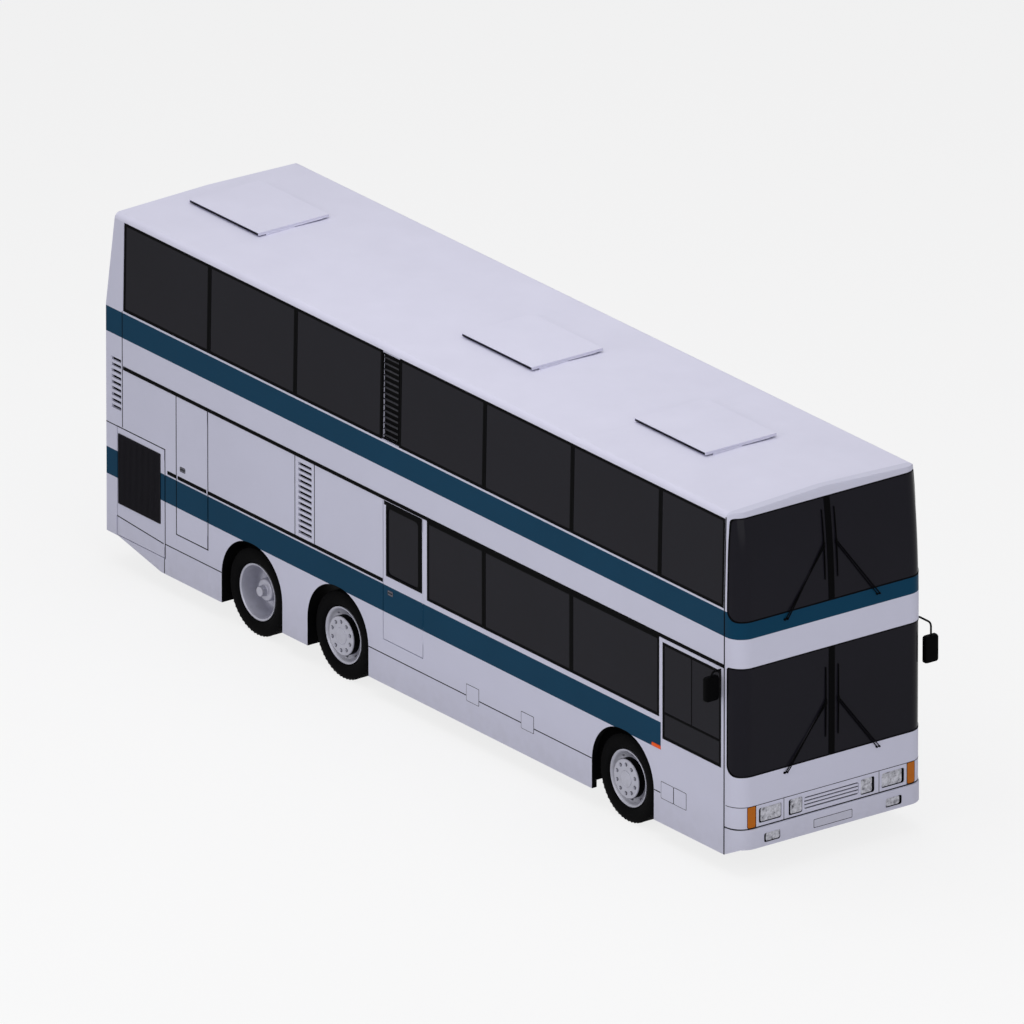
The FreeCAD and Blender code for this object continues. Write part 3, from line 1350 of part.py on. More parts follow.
def wipers():
    parts = []
    for side in (right, left):
        for foot, top, pivot, high in (
                (its.wiper_low_foot, its.wiper_low_top, its.wiper_low_pivot, False),
                (its.wiper_high_foot, its.wiper_high_top, its.wiper_high_pivot, True)):
            name = "wiper_%d" % len(parts)
            base = nose_face(foot if high else its.nose_lean_up) + its.wiper_off
            middle = (foot + top) / 2
            pivot_x = nose_face(pivot - its.pivot_radius if high else its.nose_lean_up) + its.run_gap
            y_blade = plus_minus(side, its.wiper_y)
            blade = box(name + "_blade", (base, base + its.blade_deep),
                        (y_blade - its.blade_wide / 2, y_blade + its.blade_wide / 2), (foot, top))
            y_pivot = plus_minus(side, its.wiper_pivot_y)
            pieces_here = [blade]
            for share in (-0.5, 0.5):
                shift = its.arm_step * share
                pieces_here.append(prism("%s_pivot_%d" % (name, share > 0), (pivot_x, y_pivot + shift, pivot),
                                         its.blade_deep + its.wiper_off, its.pivot_radius, its.pivot_sides, "x"))
                pieces_here.append(arm("%s_arm_%d" % (name, share > 0),
                                       (pivot_x + its.blade_deep / 2 + its.wiper_off, y_pivot + shift, pivot),
                                       (base + its.blade_deep / 2, y_blade, middle + shift)))
            parts.append(fuse(name, pieces_here))
    keep("wipers", group("wipers", parts))


wipers()


# Mirrors on their arms

mirror_sizes = {
    "mirror_reach": 1460, "mirror_arm_up": 2300, "mirror_tube": 11,
    "mirror_wide": 180, "mirror_deep": 60, "mirror_top": 2250, "mirror_foot": 1970, "mirror_back": 60,
    "far_arm_ahead": 186, "far_arm_back": 80, "far_top": 2130, "far_foot": 1820, "far_up": 2270,
}
its.add(mirror_sizes)


slim_share = 0.8
stout_share = 1.2


def mirrors():
    slim = its.mirror_tube * slim_share
    stout = its.mirror_tube * stout_share
    arm_y = its.mirror_reach - its.mirror_wide / 2
    near = [
        prism("mirror_arm_right", (back(its.mirror_back), -arm_y, its.mirror_arm_up), arm_y - half, slim,
              its.small_sides, "y"),
        prism("mirror_drop_right", (back(its.mirror_back), -arm_y, its.mirror_top - its.mirror_tube),
              its.mirror_arm_up - its.mirror_top + its.mirror_tube * 2, its.mirror_tube, its.small_sides),
        box("mirror_head_right", (back(its.mirror_back) - its.mirror_deep / 2,
                                  back(its.mirror_back) + its.mirror_deep / 2),
            (-its.mirror_reach, -(its.mirror_reach - its.mirror_wide)), (its.mirror_foot, its.mirror_top))]
    ahead = seam_x + its.far_arm_ahead - its.mirror_deep / 2
    far = [
        prism("mirror_arm_left", (back(its.far_arm_back), half, its.far_up), arm_y - half, slim,
              its.small_sides, "y"),
        prism("mirror_long_left", (back(its.far_arm_back) - its.mirror_tube, arm_y, its.far_up),
              ahead - back(its.far_arm_back) + its.mirror_tube, its.mirror_tube, its.small_sides, "x"),
        prism("mirror_drop_left", (ahead, arm_y, its.far_top - its.mirror_tube),
              its.far_up - its.far_top + its.mirror_tube * 2 + stout - its.mirror_tube, stout,
              its.small_sides),
        box("mirror_head_left", (ahead - its.mirror_deep / 2, ahead + its.mirror_deep / 2),
            (its.mirror_reach - its.mirror_wide, its.mirror_reach), (its.far_foot, its.far_top))]
    keep("mirrors", group("mirrors", [fuse("mirror_right", near), fuse("mirror_left", far)]))


mirrors()


# Seats: one outline on a foot, repeated in rows

seat_sizes = {
    "seat_pitch": 800, "seat_in": 240, "seat_out": 1150, "seat_high": 420, "cushion_thick": 120,
    "cushion_long": 430, "back_high": 1080, "back_thick": 110, "back_lean": 120, "foot_long": 260,
    "foot_back": 130, "lower_row_count": 4, "upper_row_count": 12,
    "driver_y": 700, "driver_half": 240, "lower_seat_back": 2980, "lower_seat_right": 4900,
    "driver_seat_back": 980,
}
its.add(seat_sizes)


def seat_block(name, across, floor, spots):
    owner = body(name)
    for number_in_row, spot in enumerate(spots):
        shape = sketch(owner, "%s_shape_%d" % (name, number_in_row), "XZ", -across[0])
        rear = spot
        outline(shape, [
            (rear + its.foot_back, floor), (rear + its.foot_back + its.foot_long, floor),
            (rear + its.foot_back + its.foot_long, floor + its.seat_high - its.cushion_thick),
            (rear + its.cushion_long, floor + its.seat_high - its.cushion_thick),
            (rear + its.cushion_long, floor + its.seat_high),
            (rear + its.back_thick, floor + its.seat_high),
            (rear + its.back_thick - its.back_lean, floor + its.back_high),
            (rear - its.back_lean, floor + its.back_high),
            (rear, floor + its.seat_high - its.cushion_thick),
            (rear + its.foot_back, floor + its.seat_high - its.cushion_thick)])
        pad(owner, shape, across[1] - across[0], True)
    return owner


def seats():
    lower_left = [back(its.lower_seat_back + its.seat_pitch * row) for row in range(int(number(its.lower_row_count)))]
    lower_right = [back(its.lower_seat_right)]
    driver = [back(its.driver_seat_back)]
    keep("seats_lower", group("seats_lower", [
        seat_block("seats_lower_left", span_y(left, its.seat_in, its.seat_out), floor_top, lower_left),
        seat_block("seats_lower_right", span_y(right, its.seat_in, its.seat_out), floor_top, lower_right),
        seat_block("seat_driver", (-(its.driver_y + its.driver_half), -(its.driver_y - its.driver_half)),
                   floor_top, driver)]))
    rows = [back(its.first_bay + its.seat_pitch * row) for row in range(int(number(its.upper_row_count)))]
    clear_rows = [spot for spot in rows if number(spot) > number(back(its.stair_front_back - its.back_lean))
                  or number(spot) < number(back(its.stair_rear_back + its.cushion_long))]
    keep("seats_upper", group("seats_upper", [
        seat_block("seats_upper_left", span_y(left, its.seat_in, its.seat_out), its.upper_floor_high, rows),
        seat_block("seats_upper_right", span_y(right, its.seat_in, its.seat_out), its.upper_floor_high,
                   clear_rows)]))


seats()


# Dashboard with the steering wheel

dash_sizes = {
    "dash_back": 250, "dash_reach": 20, "dash_high": 1130, "dash_foot_thick": 120,
    "steer_radius": 230, "steer_grip": 16, "steer_up": 1190, "steer_back": 330, "column_radius": 30,
}
its.add(dash_sizes)


def dashboard():
    owner = body("dash_body")
    shape = sketch(owner, "dash_shape", "XZ", -(wall_in - its.inner_gap))
    outline(shape, [
        (back(its.dash_foot_thick), floor_top), (seam_x + its.dash_reach, floor_top),
        (seam_x + its.dash_reach, its.dash_high - its.dash_foot_thick / 2),
        (seam_x - its.dash_foot_thick / 2, its.dash_high), (back(its.dash_back), its.dash_high),
        (back(its.dash_back), its.dash_high - its.dash_foot_thick)])
    pad(owner, shape, wall_in * 2 - its.inner_gap * 2)
    spot = (back(its.steer_back), -its.driver_y, its.steer_up - its.steer_grip)
    grip = cut("steering_wheel",
               prism("wheel_outside", spot, its.steer_grip * 2, its.steer_radius + its.steer_grip, its.hub_sides),
               prism("wheel_inside", spot, its.steer_grip * 2, its.steer_radius - its.steer_grip, its.hub_sides))
    hub = prism("steering_column", (back(its.steer_back), -its.driver_y, floor_top),
                its.steer_up - floor_top + its.steer_grip, its.column_radius, its.small_sides)
    spoke = box("steering_spoke", (back(its.steer_back) - its.steer_grip, back(its.steer_back) + its.steer_grip),
                (-its.driver_y - its.steer_radius, -its.driver_y + its.steer_radius),
                (its.steer_up - its.steer_grip, its.steer_up + its.steer_grip))
    keep("dashboard", group("dashboard", [owner, fuse("steering", [grip, hub, spoke])]))


dashboard()


# Build, test and write

doc.recompute()
problems = []
for item in doc.Objects:
    if "Invalid" in item.State or "Error" in item.State:
        problems.append("%s is %s" % (item.Name, item.State))
for name, item in pieces.items():
    if item.Shape.isNull() or not item.Shape.isValid() or not item.Shape.Solids:
        problems.append("%s has no valid solid" % name)
if problems:
    raise SystemExit("\n".join(problems))
for name, item in pieces.items():
    item.Shape.exportStep("parts/%s.step" % name)
    limits = item.Shape.BoundBox
    print("%-24s %3d solids  X %8.1f %8.1f  Y %8.1f %8.1f  Z %8.1f %8.1f" % (
        name, len(item.Shape.Solids), limits.XMin, limits.XMax, limits.YMin, limits.YMax, limits.ZMin, limits.ZMax))
print(len(pieces), "pieces")
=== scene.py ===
import json
import math

import bmesh
import bpy
from mathutils import Matrix, Vector

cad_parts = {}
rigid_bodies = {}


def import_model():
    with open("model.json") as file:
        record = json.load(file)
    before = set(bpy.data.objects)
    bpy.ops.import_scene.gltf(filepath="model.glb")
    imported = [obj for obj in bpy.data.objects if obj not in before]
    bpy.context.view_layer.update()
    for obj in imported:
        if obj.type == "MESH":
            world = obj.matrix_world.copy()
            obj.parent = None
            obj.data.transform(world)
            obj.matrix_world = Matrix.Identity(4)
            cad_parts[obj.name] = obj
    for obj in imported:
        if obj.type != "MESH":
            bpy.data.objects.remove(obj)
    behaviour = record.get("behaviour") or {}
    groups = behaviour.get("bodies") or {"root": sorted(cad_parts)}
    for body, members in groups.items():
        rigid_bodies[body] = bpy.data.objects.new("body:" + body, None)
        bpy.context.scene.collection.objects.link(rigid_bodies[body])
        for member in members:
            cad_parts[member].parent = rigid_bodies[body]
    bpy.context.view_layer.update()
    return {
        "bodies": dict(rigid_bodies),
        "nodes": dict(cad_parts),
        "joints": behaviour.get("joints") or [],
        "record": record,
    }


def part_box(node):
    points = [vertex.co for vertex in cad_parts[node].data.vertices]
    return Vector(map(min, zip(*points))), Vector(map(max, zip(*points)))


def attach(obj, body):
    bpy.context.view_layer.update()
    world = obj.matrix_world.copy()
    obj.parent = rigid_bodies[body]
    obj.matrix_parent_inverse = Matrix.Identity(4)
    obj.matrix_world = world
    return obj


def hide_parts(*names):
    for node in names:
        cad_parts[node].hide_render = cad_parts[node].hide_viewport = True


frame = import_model()
nodes = frame["nodes"]
right, left = -1, 1
sideWords = {right: "right", left: "left"}
print("frame loaded:", len(nodes), "nodes")


# places that the pieces share, read from the frame

wallLow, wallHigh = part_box("side_wall_right")
seamX, rearX = wallHigh.x, wallLow.x
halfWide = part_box("front_panel")[1].y  # the boxes of the walls have the hinges in them
seatLine, cantLine, tumbleIn = 3.0, wallHigh.z, 0.02
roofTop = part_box("roof_panel")[1].z


def fromSeam(distance):
    return seamX - distance


def wallReach(up):
    return halfWide - tumbleIn * max(0, up - seatLine) / (cantLine - seatLine)


def onSide(side):
    def place(along, up, depth):
        return Vector((along, side * (wallReach(up) + depth), up))
    return place


# camera: the photo is nearly free of perspective, so it is a very long lens from far away

cameraValues = {
    "turn": 53.17, "rise": 21.78, "lens": 1500, "across": 10.894, "target": (-0.031, 0.024, 2.064),
    "clip": (10, 1500),
}


def addCamera(values):
    turn, rise = math.radians(values["turn"]), math.radians(values["rise"])
    towards = Vector((math.sin(turn) * math.cos(rise), -math.cos(turn) * math.cos(rise), math.sin(rise)))
    camera = bpy.data.cameras.new("camera")
    camera.lens = values["lens"]
    camera.clip_start, camera.clip_end = values["clip"]
    distance = values["across"] * values["lens"] / camera.sensor_width
    holder = bpy.data.objects.new("camera", camera)
    holder.location = Vector(values["target"]) + towards * distance
    holder.rotation_euler = towards.to_track_quat("Z", "Y").to_euler()
    bpy.context.scene.collection.objects.link(holder)
    bpy.context.scene.camera = holder


addCamera(cameraValues)


# shapes

def roundedLoop(low, high, radii, steps=6):
    if not isinstance(radii, tuple):
        radii = (radii,) * 4
    corners = ((low[0], low[1], 1, 1), (high[0], low[1], -1, 1), (high[0], high[1], -1, -1), (low[0], high[1], 1, -1))
    loop = []
    for cornerNo, (along, up, inAlong, inUp) in enumerate(corners):
        radius = radii[cornerNo]
        for step in range(steps + 1):
            angle = math.radians(180 + 90 * (cornerNo + step / steps))
            loop.append((along + radius * (inAlong + math.cos(angle)), up + radius * (inUp + math.sin(angle))))
    return loop


# a rounded loop that lies inside the corners by a margin
def insetLoop(low, high, inset, radii, steps=6):
    return roundedLoop((low[0] + inset, low[1] + inset), (high[0] - inset, high[1] - inset), radii, steps)


# a loop drawn for the left side, as that side has it
def sideLoop(loop, side):
    return loop if side == left else [(-along, up) for along, up in loop][::-1]


def circle(radius, steps):
    return [(radius * math.cos(2 * math.pi * step / steps), radius * math.sin(2 * math.pi * step / steps))
            for step in range(steps)]


# plan of one end of the coach, from its right foot round to the left one
def endPlan(foot, end, wide, radius, steps):
    ahead = radius if end > foot else -radius
    corner = []
    for step in range(steps + 1):
        angle = math.pi / 2 * step / steps
        corner.append((end - ahead + ahead * math.sin(angle), wide - radius + radius * math.cos(angle)))
    return [(foot, -wide)] + [(along, -across) for along, across in corner] + corner[::-1] + [(foot, wide)]


# a closed ring of faces between loops that have as many points
def addRings(bm, rings, capped=False):
    made = [[bm.verts.new(spot) for spot in ring] for ring in rings]
    count = len(made[0])
    pairs = zip(made, made[1:]) if capped else zip(made, made[1:] + made[:1])
    for ring, following in pairs:
        for spot in range(count):
            after = (spot + 1) % count
            bm.faces.new((ring[spot], ring[after], following[after], following[spot]))
    if capped:
        bm.faces.new(made[0])
        bm.faces.new(made[-1])


# the points of a flat loop, with the level on the axis that the loop leaves out
def loopAt(loop, level, axis):
    return [Vector((*spot[:axis], level, *spot[axis:])) for spot in loop]


def addPrism(bm, loop, levels, axis):
    addRings(bm, [loopAt(loop, level, axis) for level in levels], True)


# near and far are how far the back and the face stand out of the surface that place gives; the values called
# depths hold them, some with the width of the bevel
def addFrame(bm, outer, inner, place, near, far, edge=0.001):
    loops = ((outer, near), (outer, far - edge), (shrinkLoop(outer, edge), far), (shrinkLoop(inner, -edge), far),
             (inner, far - edge), (inner, near))
    addRings(bm, [[place(along, up, depth) for along, up in loop] for loop, depth in loops])


def addPlate(bm, loop, place, near, far, edge=0.002):
    loops = ((loop, near), (loop, far - edge), (shrinkLoop(loop, edge), far))
    addRings(bm, [[place(along, up, depth) for along, up in ring] for ring, depth in loops], True)


# moves each point of a loop towards the middle
def shrinkLoop(loop, edge):
    lowAlong, highAlong = min(spot[0] for spot in loop), max(spot[0] for spot in loop)
    lowUp, highUp = min(spot[1] for spot in loop), max(spot[1] for spot in loop)
    middleAlong, middleUp = (lowAlong + highAlong) / 2, (lowUp + highUp) / 2
    shareAlong = 1 - 2 * edge / (highAlong - lowAlong)
    shareUp = 1 - 2 * edge / (highUp - lowUp)
    return [(middleAlong + (along - middleAlong) * shareAlong, middleUp + (up - middleUp) * shareUp)
            for along, up in loop]


def addBar(bm, low, high, edge=0.003, steps=2):
    part = bmesh.new()
    bmesh.ops.create_cube(part, size=1)
    for vert in part.verts:
        vert.co = Vector([low[axis] + (vert.co[axis] + 0.5) * (high[axis] - low[axis]) for axis in range(3)])
    bmesh.ops.bevel(part, geom=part.edges[:], offset=edge, segments=steps, affect="EDGES", profile=0.5)
    joinShape(bm, part)


def joinShape(bm, part, turn=None):
    if turn is not None:
        part.transform(turn)
    mesh = bpy.data.meshes.new("part")
    part.to_mesh(mesh)
    part.free()
    bm.from_mesh(mesh)
    bpy.data.meshes.remove(mesh)


# turns a profile of (across, radius) about a line across the coach; a closed profile gives a ring
def addLathe(bm, profile, centre, steps, closed=True):
    rings = []
    for across, radius in profile:
        rings.append([Vector((centre[0] + along, centre[1] + across, centre[2] + up))
                      for along, up in circle(radius, steps)])
    addRings(bm, rings, not closed)


# turns a profile of (along, share of the radius) about a line that runs forward
def addKnob(bm, centre, profile, radius, steps):
    addRings(bm, [[centre + Vector((along, across, up)) for across, up in circle(radius * share, steps)]
                  for along, share in profile], True)


def addTube(bm, points, radius, steps=10):
    points = [Vector(spot) for spot in points]
    rings = []
    side = None
    for spotNo, spot in enumerate(points):
        before = points[max(spotNo - 1, 0)]
        after = points[min(spotNo + 1, len(points) - 1)]
        line = (after - before).normalized()
        if side is None:
            side = line.orthogonal().normalized()
        side = (side - line * side.dot(line)).normalized()
        other = line.cross(side)
        rings.append([spot + (side * first + other * second) * radius for first, second in circle(1, steps)])
    addRings(bm, rings, True)


# rounds the corners of a line of points
def roundLine(points, radius, steps=5):
    points = [Vector(spot) for spot in points]
    line = [points[0]]
    for before, corner, after in zip(points, points[1:], points[2:]):
        start = corner + (before - corner).normalized() * radius
        end = corner + (after - corner).normalized() * radius
        for step in range(steps + 1):
            share = step / steps
            line.append(start * (1 - share) ** 2 + corner * 2 * share * (1 - share) + end * share ** 2)
    return line + [points[-1]]


def makeObject(name, shape):
    mesh = shape
    if isinstance(shape, bmesh.types.BMesh):
        bmesh.ops.recalc_face_normals(shape, faces=shape.faces[:])
        mesh = bpy.data.meshes.new(name)
        shape.to_mesh(mesh)
        shape.free()
    made = bpy.data.objects.new(name, mesh)
    bpy.context.scene.collection.objects.link(made)
    return made


# the object as its modifiers leave it, as a plain mesh
def settle(made):
    bpy.context.view_layer.update()
    mesh = bpy.data.meshes.new_from_object(made.evaluated_get(bpy.context.evaluated_depsgraph_get()))
    made.modifiers.clear()
    old = made.data
    made.data = mesh
    if old.users == 0:
        bpy.data.meshes.remove(old)
    return made


def carve(target, tool, operation, keepTool=False):
    change = target.modifiers.new("carve", "BOOLEAN")
    change.operation = operation
    change.object = tool
    change.solver = "EXACT"
    settle(target)
    if not keepTool:
        bpy.data.objects.remove(tool)
    return target


def finishPiece(made, body, slot, finish=None, angle=35, replaced=()):
    mesh = made.data
    mesh.materials.clear()
    mesh.materials.append(finish or finishes[slot])
    mesh.polygons.foreach_set("use_smooth", [True] * len(mesh.polygons))
    mesh.set_sharp_from_angle(angle=math.radians(angle))
    weigh = made.modifiers.new("weigh", "WEIGHTED_NORMAL")
    weigh.keep_sharp = True
    settle(made)
    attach(made, body)
    if replaced:
        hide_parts(*replaced)
    return made


def addPiece(name, shape, slot, finish=None, body="coach_body", replaced=()):
    return finishPiece(makeObject(name, shape), body, slot, finish, replaced=replaced)


# materials

# linear colour of a screen colour given as 0 to 255
def shade(red, green, blue):
    return tuple(((part / 255 + 0.055) / 1.055) ** 2.4 if part > 10 else part / 255 / 12.92
                 for part in (red, green, blue)) + (1,)


def treeNode(tree, kind, inputs=(), **settings):
    made = tree.nodes.new(kind)
    for key, value in settings.items():
        setattr(made, key, value)
    for key, value in dict(inputs).items():
        if isinstance(value, bpy.types.NodeSocket):
            tree.links.new(value, made.inputs[key])
        else:
            made.inputs[key].default_value = value
    return made


def addNode(tree, kind, inputs=(), **settings):
    return treeNode(tree, "ShaderNode" + kind, inputs, **settings)


def calculate(tree, operation, first, second=0.0):
    return addNode(tree, "Math", {0: first, 1: second}, operation=operation).outputs[0]


def within(tree, value, low, high):
    return calculate(tree, "MULTIPLY", calculate(tree, "GREATER_THAN", value, low),
                     calculate(tree, "LESS_THAN", value, high))


def blendColour(tree, mask, first, second):
    made = addNode(tree, "Mix", {"Factor": mask, 6: first, 7: second}, data_type="RGBA")
    return made.outputs[2]


def startMaterial(name, roughness, metallic=0.0, coat=0.0, **sockets):
    material = bpy.data.materials.new(name)
    material.use_nodes = True
    tree = material.node_tree
    shader = tree.nodes["Principled BSDF"]
    shader.inputs["Roughness"].default_value = roughness
    shader.inputs["Metallic"].default_value = metallic
    shader.inputs["Coat Weight"].default_value = coat
    for key, value in sockets.items():
        shader.inputs[key.replace("_", " ")].default_value = value
    place = addNode(tree, "TexCoord").outputs["Object"]
    return material, tree, shader, place


def noise(tree, place, scale, detail=3.0, rough=0.55):
    return addNode(tree, "TexNoise", {"Vector": place, "Scale": scale, "Detail": detail, "Roughness": rough})


def ramp(tree, value, stops):
    made = addNode(tree, "ValToRGB", {"Fac": value})
    made.color_ramp.elements[0].position, made.color_ramp.elements[0].color = stops[0]
    made.color_ramp.elements[1].position, made.color_ramp.elements[1].color = stops[-1]
    for position, colour in stops[1:-1]:
        made.color_ramp.elements.new(position).color = colour
    return made.outputs["Color"]


def bump(tree, shader, height, strength, distance):
    made = addNode(tree, "Bump", {"Height": height, "Strength": strength, "Distance": distance})
    tree.links.new(made.outputs["Normal"], shader.inputs["Normal"])


def dim(colour, share):
    return tuple(part * share for part in colour[:3]) + (1,)


# paint: white over the whole body, with two dark stripes

paintValues = {
    "white": shade(207, 207, 226), "stripe": shade(15, 61, 88), "dust": shade(150, 148, 150),
    "dustUp": (0.2, 0.75), "dustShare": 0.3, "upperStripe": (2.694, 2.985), "lowerStripe": (1.049, 1.36),
    "lowerStripeEnd": 1.106,
}


def bodyPaint(name, values):
    material, tree, shader, place = startMaterial(name, 0.4, coat=0.01, Coat_Roughness=0.12, Specular_IOR_Level=0.03)
    parts = addNode(tree, "SeparateXYZ", {"Vector": place})
    tone = noise(tree, place, 1.3).outputs["Fac"]
    base = blendColour(tree, tone, values["white"], dim(values["white"], 0.93))
    upper = within(tree, parts.outputs["Z"], *values["upperStripe"])
    lower = calculate(tree, "MULTIPLY", within(tree, parts.outputs["Z"], *values["lowerStripe"]),
                      calculate(tree, "LESS_THAN", parts.outputs["X"], fromSeam(values["lowerStripeEnd"])))
    stripes = calculate(tree, "MAXIMUM", upper, lower)
    stripeTone = blendColour(tree, tone, values["stripe"], dim(values["stripe"], 0.85))
    painted = blendColour(tree, stripes, base, stripeTone)
    foot, top = values["dustUp"]
    low = ramp(tree, parts.outputs["Z"], [(foot, (1, 1, 1, 1)), (top, (0, 0, 0, 1))])
    dustSpots = noise(tree, place, 9, 5).outputs["Fac"]
    dust = calculate(tree, "MULTIPLY", calculate(tree, "MULTIPLY", low, dustSpots),
                     values["dustShare"])
    tree.links.new(blendColour(tree, dust, painted, values["dust"]), shader.inputs["Base Color"])
    fine = noise(tree, place, 240, 2).outputs["Fac"]
    bump(tree, shader, fine, 0.03, 0.0004)
    return material


# the roof's white is a lighter copy of the walls' white: painted light from overhead
def litRoofPaint(name):
    material, tree, shader, place = startMaterial(name, 0.45, coat=0.02, Coat_Roughness=0.2, Specular_IOR_Level=0.1)
    tone = noise(tree, place, 1.7).outputs["Fac"]
    base = blendColour(tree, tone, shade(220, 219, 238), shade(211, 210, 229))
    tree.links.new(base, shader.inputs["Base Color"])
    bump(tree, shader, noise(tree, place, 180, 2).outputs["Fac"], 0.05, 0.0006)
    return material


def darkGlass(name):
    material, tree, shader, place = startMaterial(name, 0.1, Specular_IOR_Level=0.04, Transmission_Weight=0.07)
    tone = noise(tree, place, 0.9).outputs["Fac"]
    base = blendColour(tree, tone, shade(29, 28, 36), shade(25, 24, 31))
    tree.links.new(base, shader.inputs["Base Color"])
    bump(tree, shader, noise(tree, place, 2.5, 1).outputs["Fac"], 0.02, 0.002)
    return material


def speckled(name, light, dark, scale, roughness, metallic=0.0, coat=0.0, specular=0.5, depth=0.0006, strength=0.2):
    material, tree, shader, place = startMaterial(name, roughness, metallic, coat, Specular_IOR_Level=specular)
    tone = noise(tree, place, scale, 4).outputs["Fac"]
    tree.links.new(blendColour(tree, tone, light, dark), shader.inputs["Base Color"])
    grain = noise(tree, place, scale * 8, 2).outputs["Fac"]
    bump(tree, shader, grain, strength, depth)
    return material


def clearCover(name):
    material, tree, shader, place = startMaterial(name, 0.2, Specular_IOR_Level=0.1, Transmission_Weight=0.3)
    smudge = noise(tree, place, 22, 5, 0.7).outputs["Fac"]
    tone = ramp(tree, smudge, [(0.4, shade(236, 236, 246)), (0.56, shade(196, 196, 206)), (0.68, shade(96, 96, 104))])
    tree.links.new(tone, shader.inputs["Base Color"])
    bump(tree, shader, noise(tree, place, 90, 2).outputs["Fac"], 0.25, 0.0006)
    return material


finishes = {
    "body_paint": bodyPaint("bodyPaint", paintValues),
    "roof_paint": litRoofPaint("litRoofPaint"),
    "dark_glass": darkGlass("darkGlass"),
    "black_trim": speckled("blackTrim", shade(7, 7, 8), shade(4, 4, 5), 30, 0.55, specular=0.02),
    "tyre": speckled("tyreRubber", shade(12, 12, 13), shade(8, 8, 9), 14, 0.85, specular=0.04),
    "wheel_metal": speckled("wheelMetal", shade(190, 190, 205), shade(160, 160, 172), 12, 0.42, 0.3, 0.2),
    "chassis_paint": speckled("chassisPaint", shade(44, 44, 46), shade(30, 29, 28), 16, 0.6),
    "floor_covering": speckled("floorCovering", shade(92, 92, 96), shade(70, 70, 74), 60, 0.7),
    "seat_cloth": speckled("seatCloth", shade(40, 62, 92), shade(28, 44, 70), 90, 0.9),
    "dash_plastic": speckled("dashPlastic", shade(52, 52, 54), shade(40, 40, 42), 70, 0.6),
    "clear_lamp": clearCover("lampLens"),
    "amber_lamp": speckled("amberLens", shade(190, 106, 16), shade(172, 92, 10), 30, 0.2, 0.0, 0.1, 0.08),
    "red_lamp": speckled("redLens", shade(176, 18, 16), shade(140, 10, 10), 30, 0.2, 0.0, 0.15, 0.1),
    "slat_metal": speckled("slatMetal", shade(60, 60, 66), shade(40, 40, 44), 40, 0.4, 0.6, specular=0.2),
    "rib_plastic": speckled("ribPlastic", shade(30, 29, 34), shade(25, 24, 29), 40, 0.5, specular=0.04),
    "handle_grey": speckled("handleGrey", shade(122, 122, 134), shade(96, 96, 106), 40, 0.5, specular=0.1),
    # a darker grey for the hatches' upright sides: painted shade
    "hatch_side_shade": speckled("hatchSideShade", shade(176, 174, 188), shade(166, 164, 178), 40, 0.6, specular=0.1),
    "plate": speckled("plateWhite", shade(196, 196, 212), shade(188, 188, 204), 20, 0.4, specular=0.2),
    "reflector": speckled("reflectorSilver", shade(206, 206, 214), shade(120, 120, 128), 34, 0.22, 0.9),
    "mirror": speckled("mirrorSilver", shade(200, 204, 208), shade(180, 184, 190), 6, 0.05, 1.0),
    "marker": speckled("markerLens", shade(240, 92, 14), shade(226, 80, 10), 30, 0.2, 0.0, 0.1, 0.08),
    "engine_metal": speckled("engineMetal", shade(120, 122, 124), shade(84, 84, 86), 20, 0.55, 0.7),
    "tank_metal": speckled("tankMetal", shade(150, 152, 156), shade(120, 122, 126), 18, 0.38, 0.9),
}


def dressNodes():
    for row in frame["record"]["subparts"]:
        mesh = nodes[row["node"]].data
        mesh.materials.clear()
        mesh.materials.append(finishes[row["material_slot"]])


dressNodes()
print("frame dressed")


# floor, lights and a white surround

# each lamp has its place, width and watts
stageValues = {
    "floorHalf": 45, "floorGlow": 0.8, "surround": 0.35, "aim": (0, 0, 2),
    "overheadLamp": ((-0.6, -1.5, 17), 16, 1330), "sideLamp": ((2, -19, 7), 12, 750),
    "frontLamp": ((19, -3, 7), 12, 640),
}


def raysSeen(tree):
    rays = addNode(tree, "LightPath")
    seen = calculate(tree, "MAXIMUM", rays.outputs["Is Camera Ray"], rays.outputs["Is Glossy Ray"])
    return calculate(tree, "MAXIMUM", seen, rays.outputs["Is Transmission Ray"])


def addStage(values):
    reach = values["floorHalf"]
    mesh = bpy.data.meshes.new("floor")
    mesh.from_pydata([(-reach, -reach, 0), (reach, -reach, 0), (reach, reach, 0), (-reach, reach, 0)], [],
                     [(0, 1, 2, 3)])
    floor = bpy.data.objects.new("floor", mesh)
    bpy.context.scene.collection.objects.link(floor)
    material, tree, shader, place = startMaterial("paleFloor", 0.9)
    tone = noise(tree, place, 0.6).outputs["Fac"]
    tree.links.new(blendColour(tree, tone, shade(236, 236, 238), shade(232, 232, 234)), shader.inputs["Base Color"])
    glow = addNode(tree, "Emission", {"Color": (1, 1, 1, 1), "Strength": 1.0})
    share = calculate(tree, "MULTIPLY", raysSeen(tree), values["floorGlow"])
    mix = addNode(tree, "MixShader", {0: share, 1: shader.outputs[0], 2: glow.outputs[0]})
    tree.links.new(mix.outputs[0], tree.nodes["Material Output"].inputs["Surface"])
    mesh.materials.append(material)


def addLamp(name, values):
    place, width, watts = values[name]
    lamp = bpy.data.lights.new(name, "AREA")
    lamp.energy = watts
    lamp.size = width
    holder = bpy.data.objects.new(name, lamp)
    holder.location = place
    holder.rotation_euler = (Vector(place) - Vector(values["aim"])).to_track_quat("Z", "Y").to_euler()
    bpy.context.scene.collection.objects.link(holder)


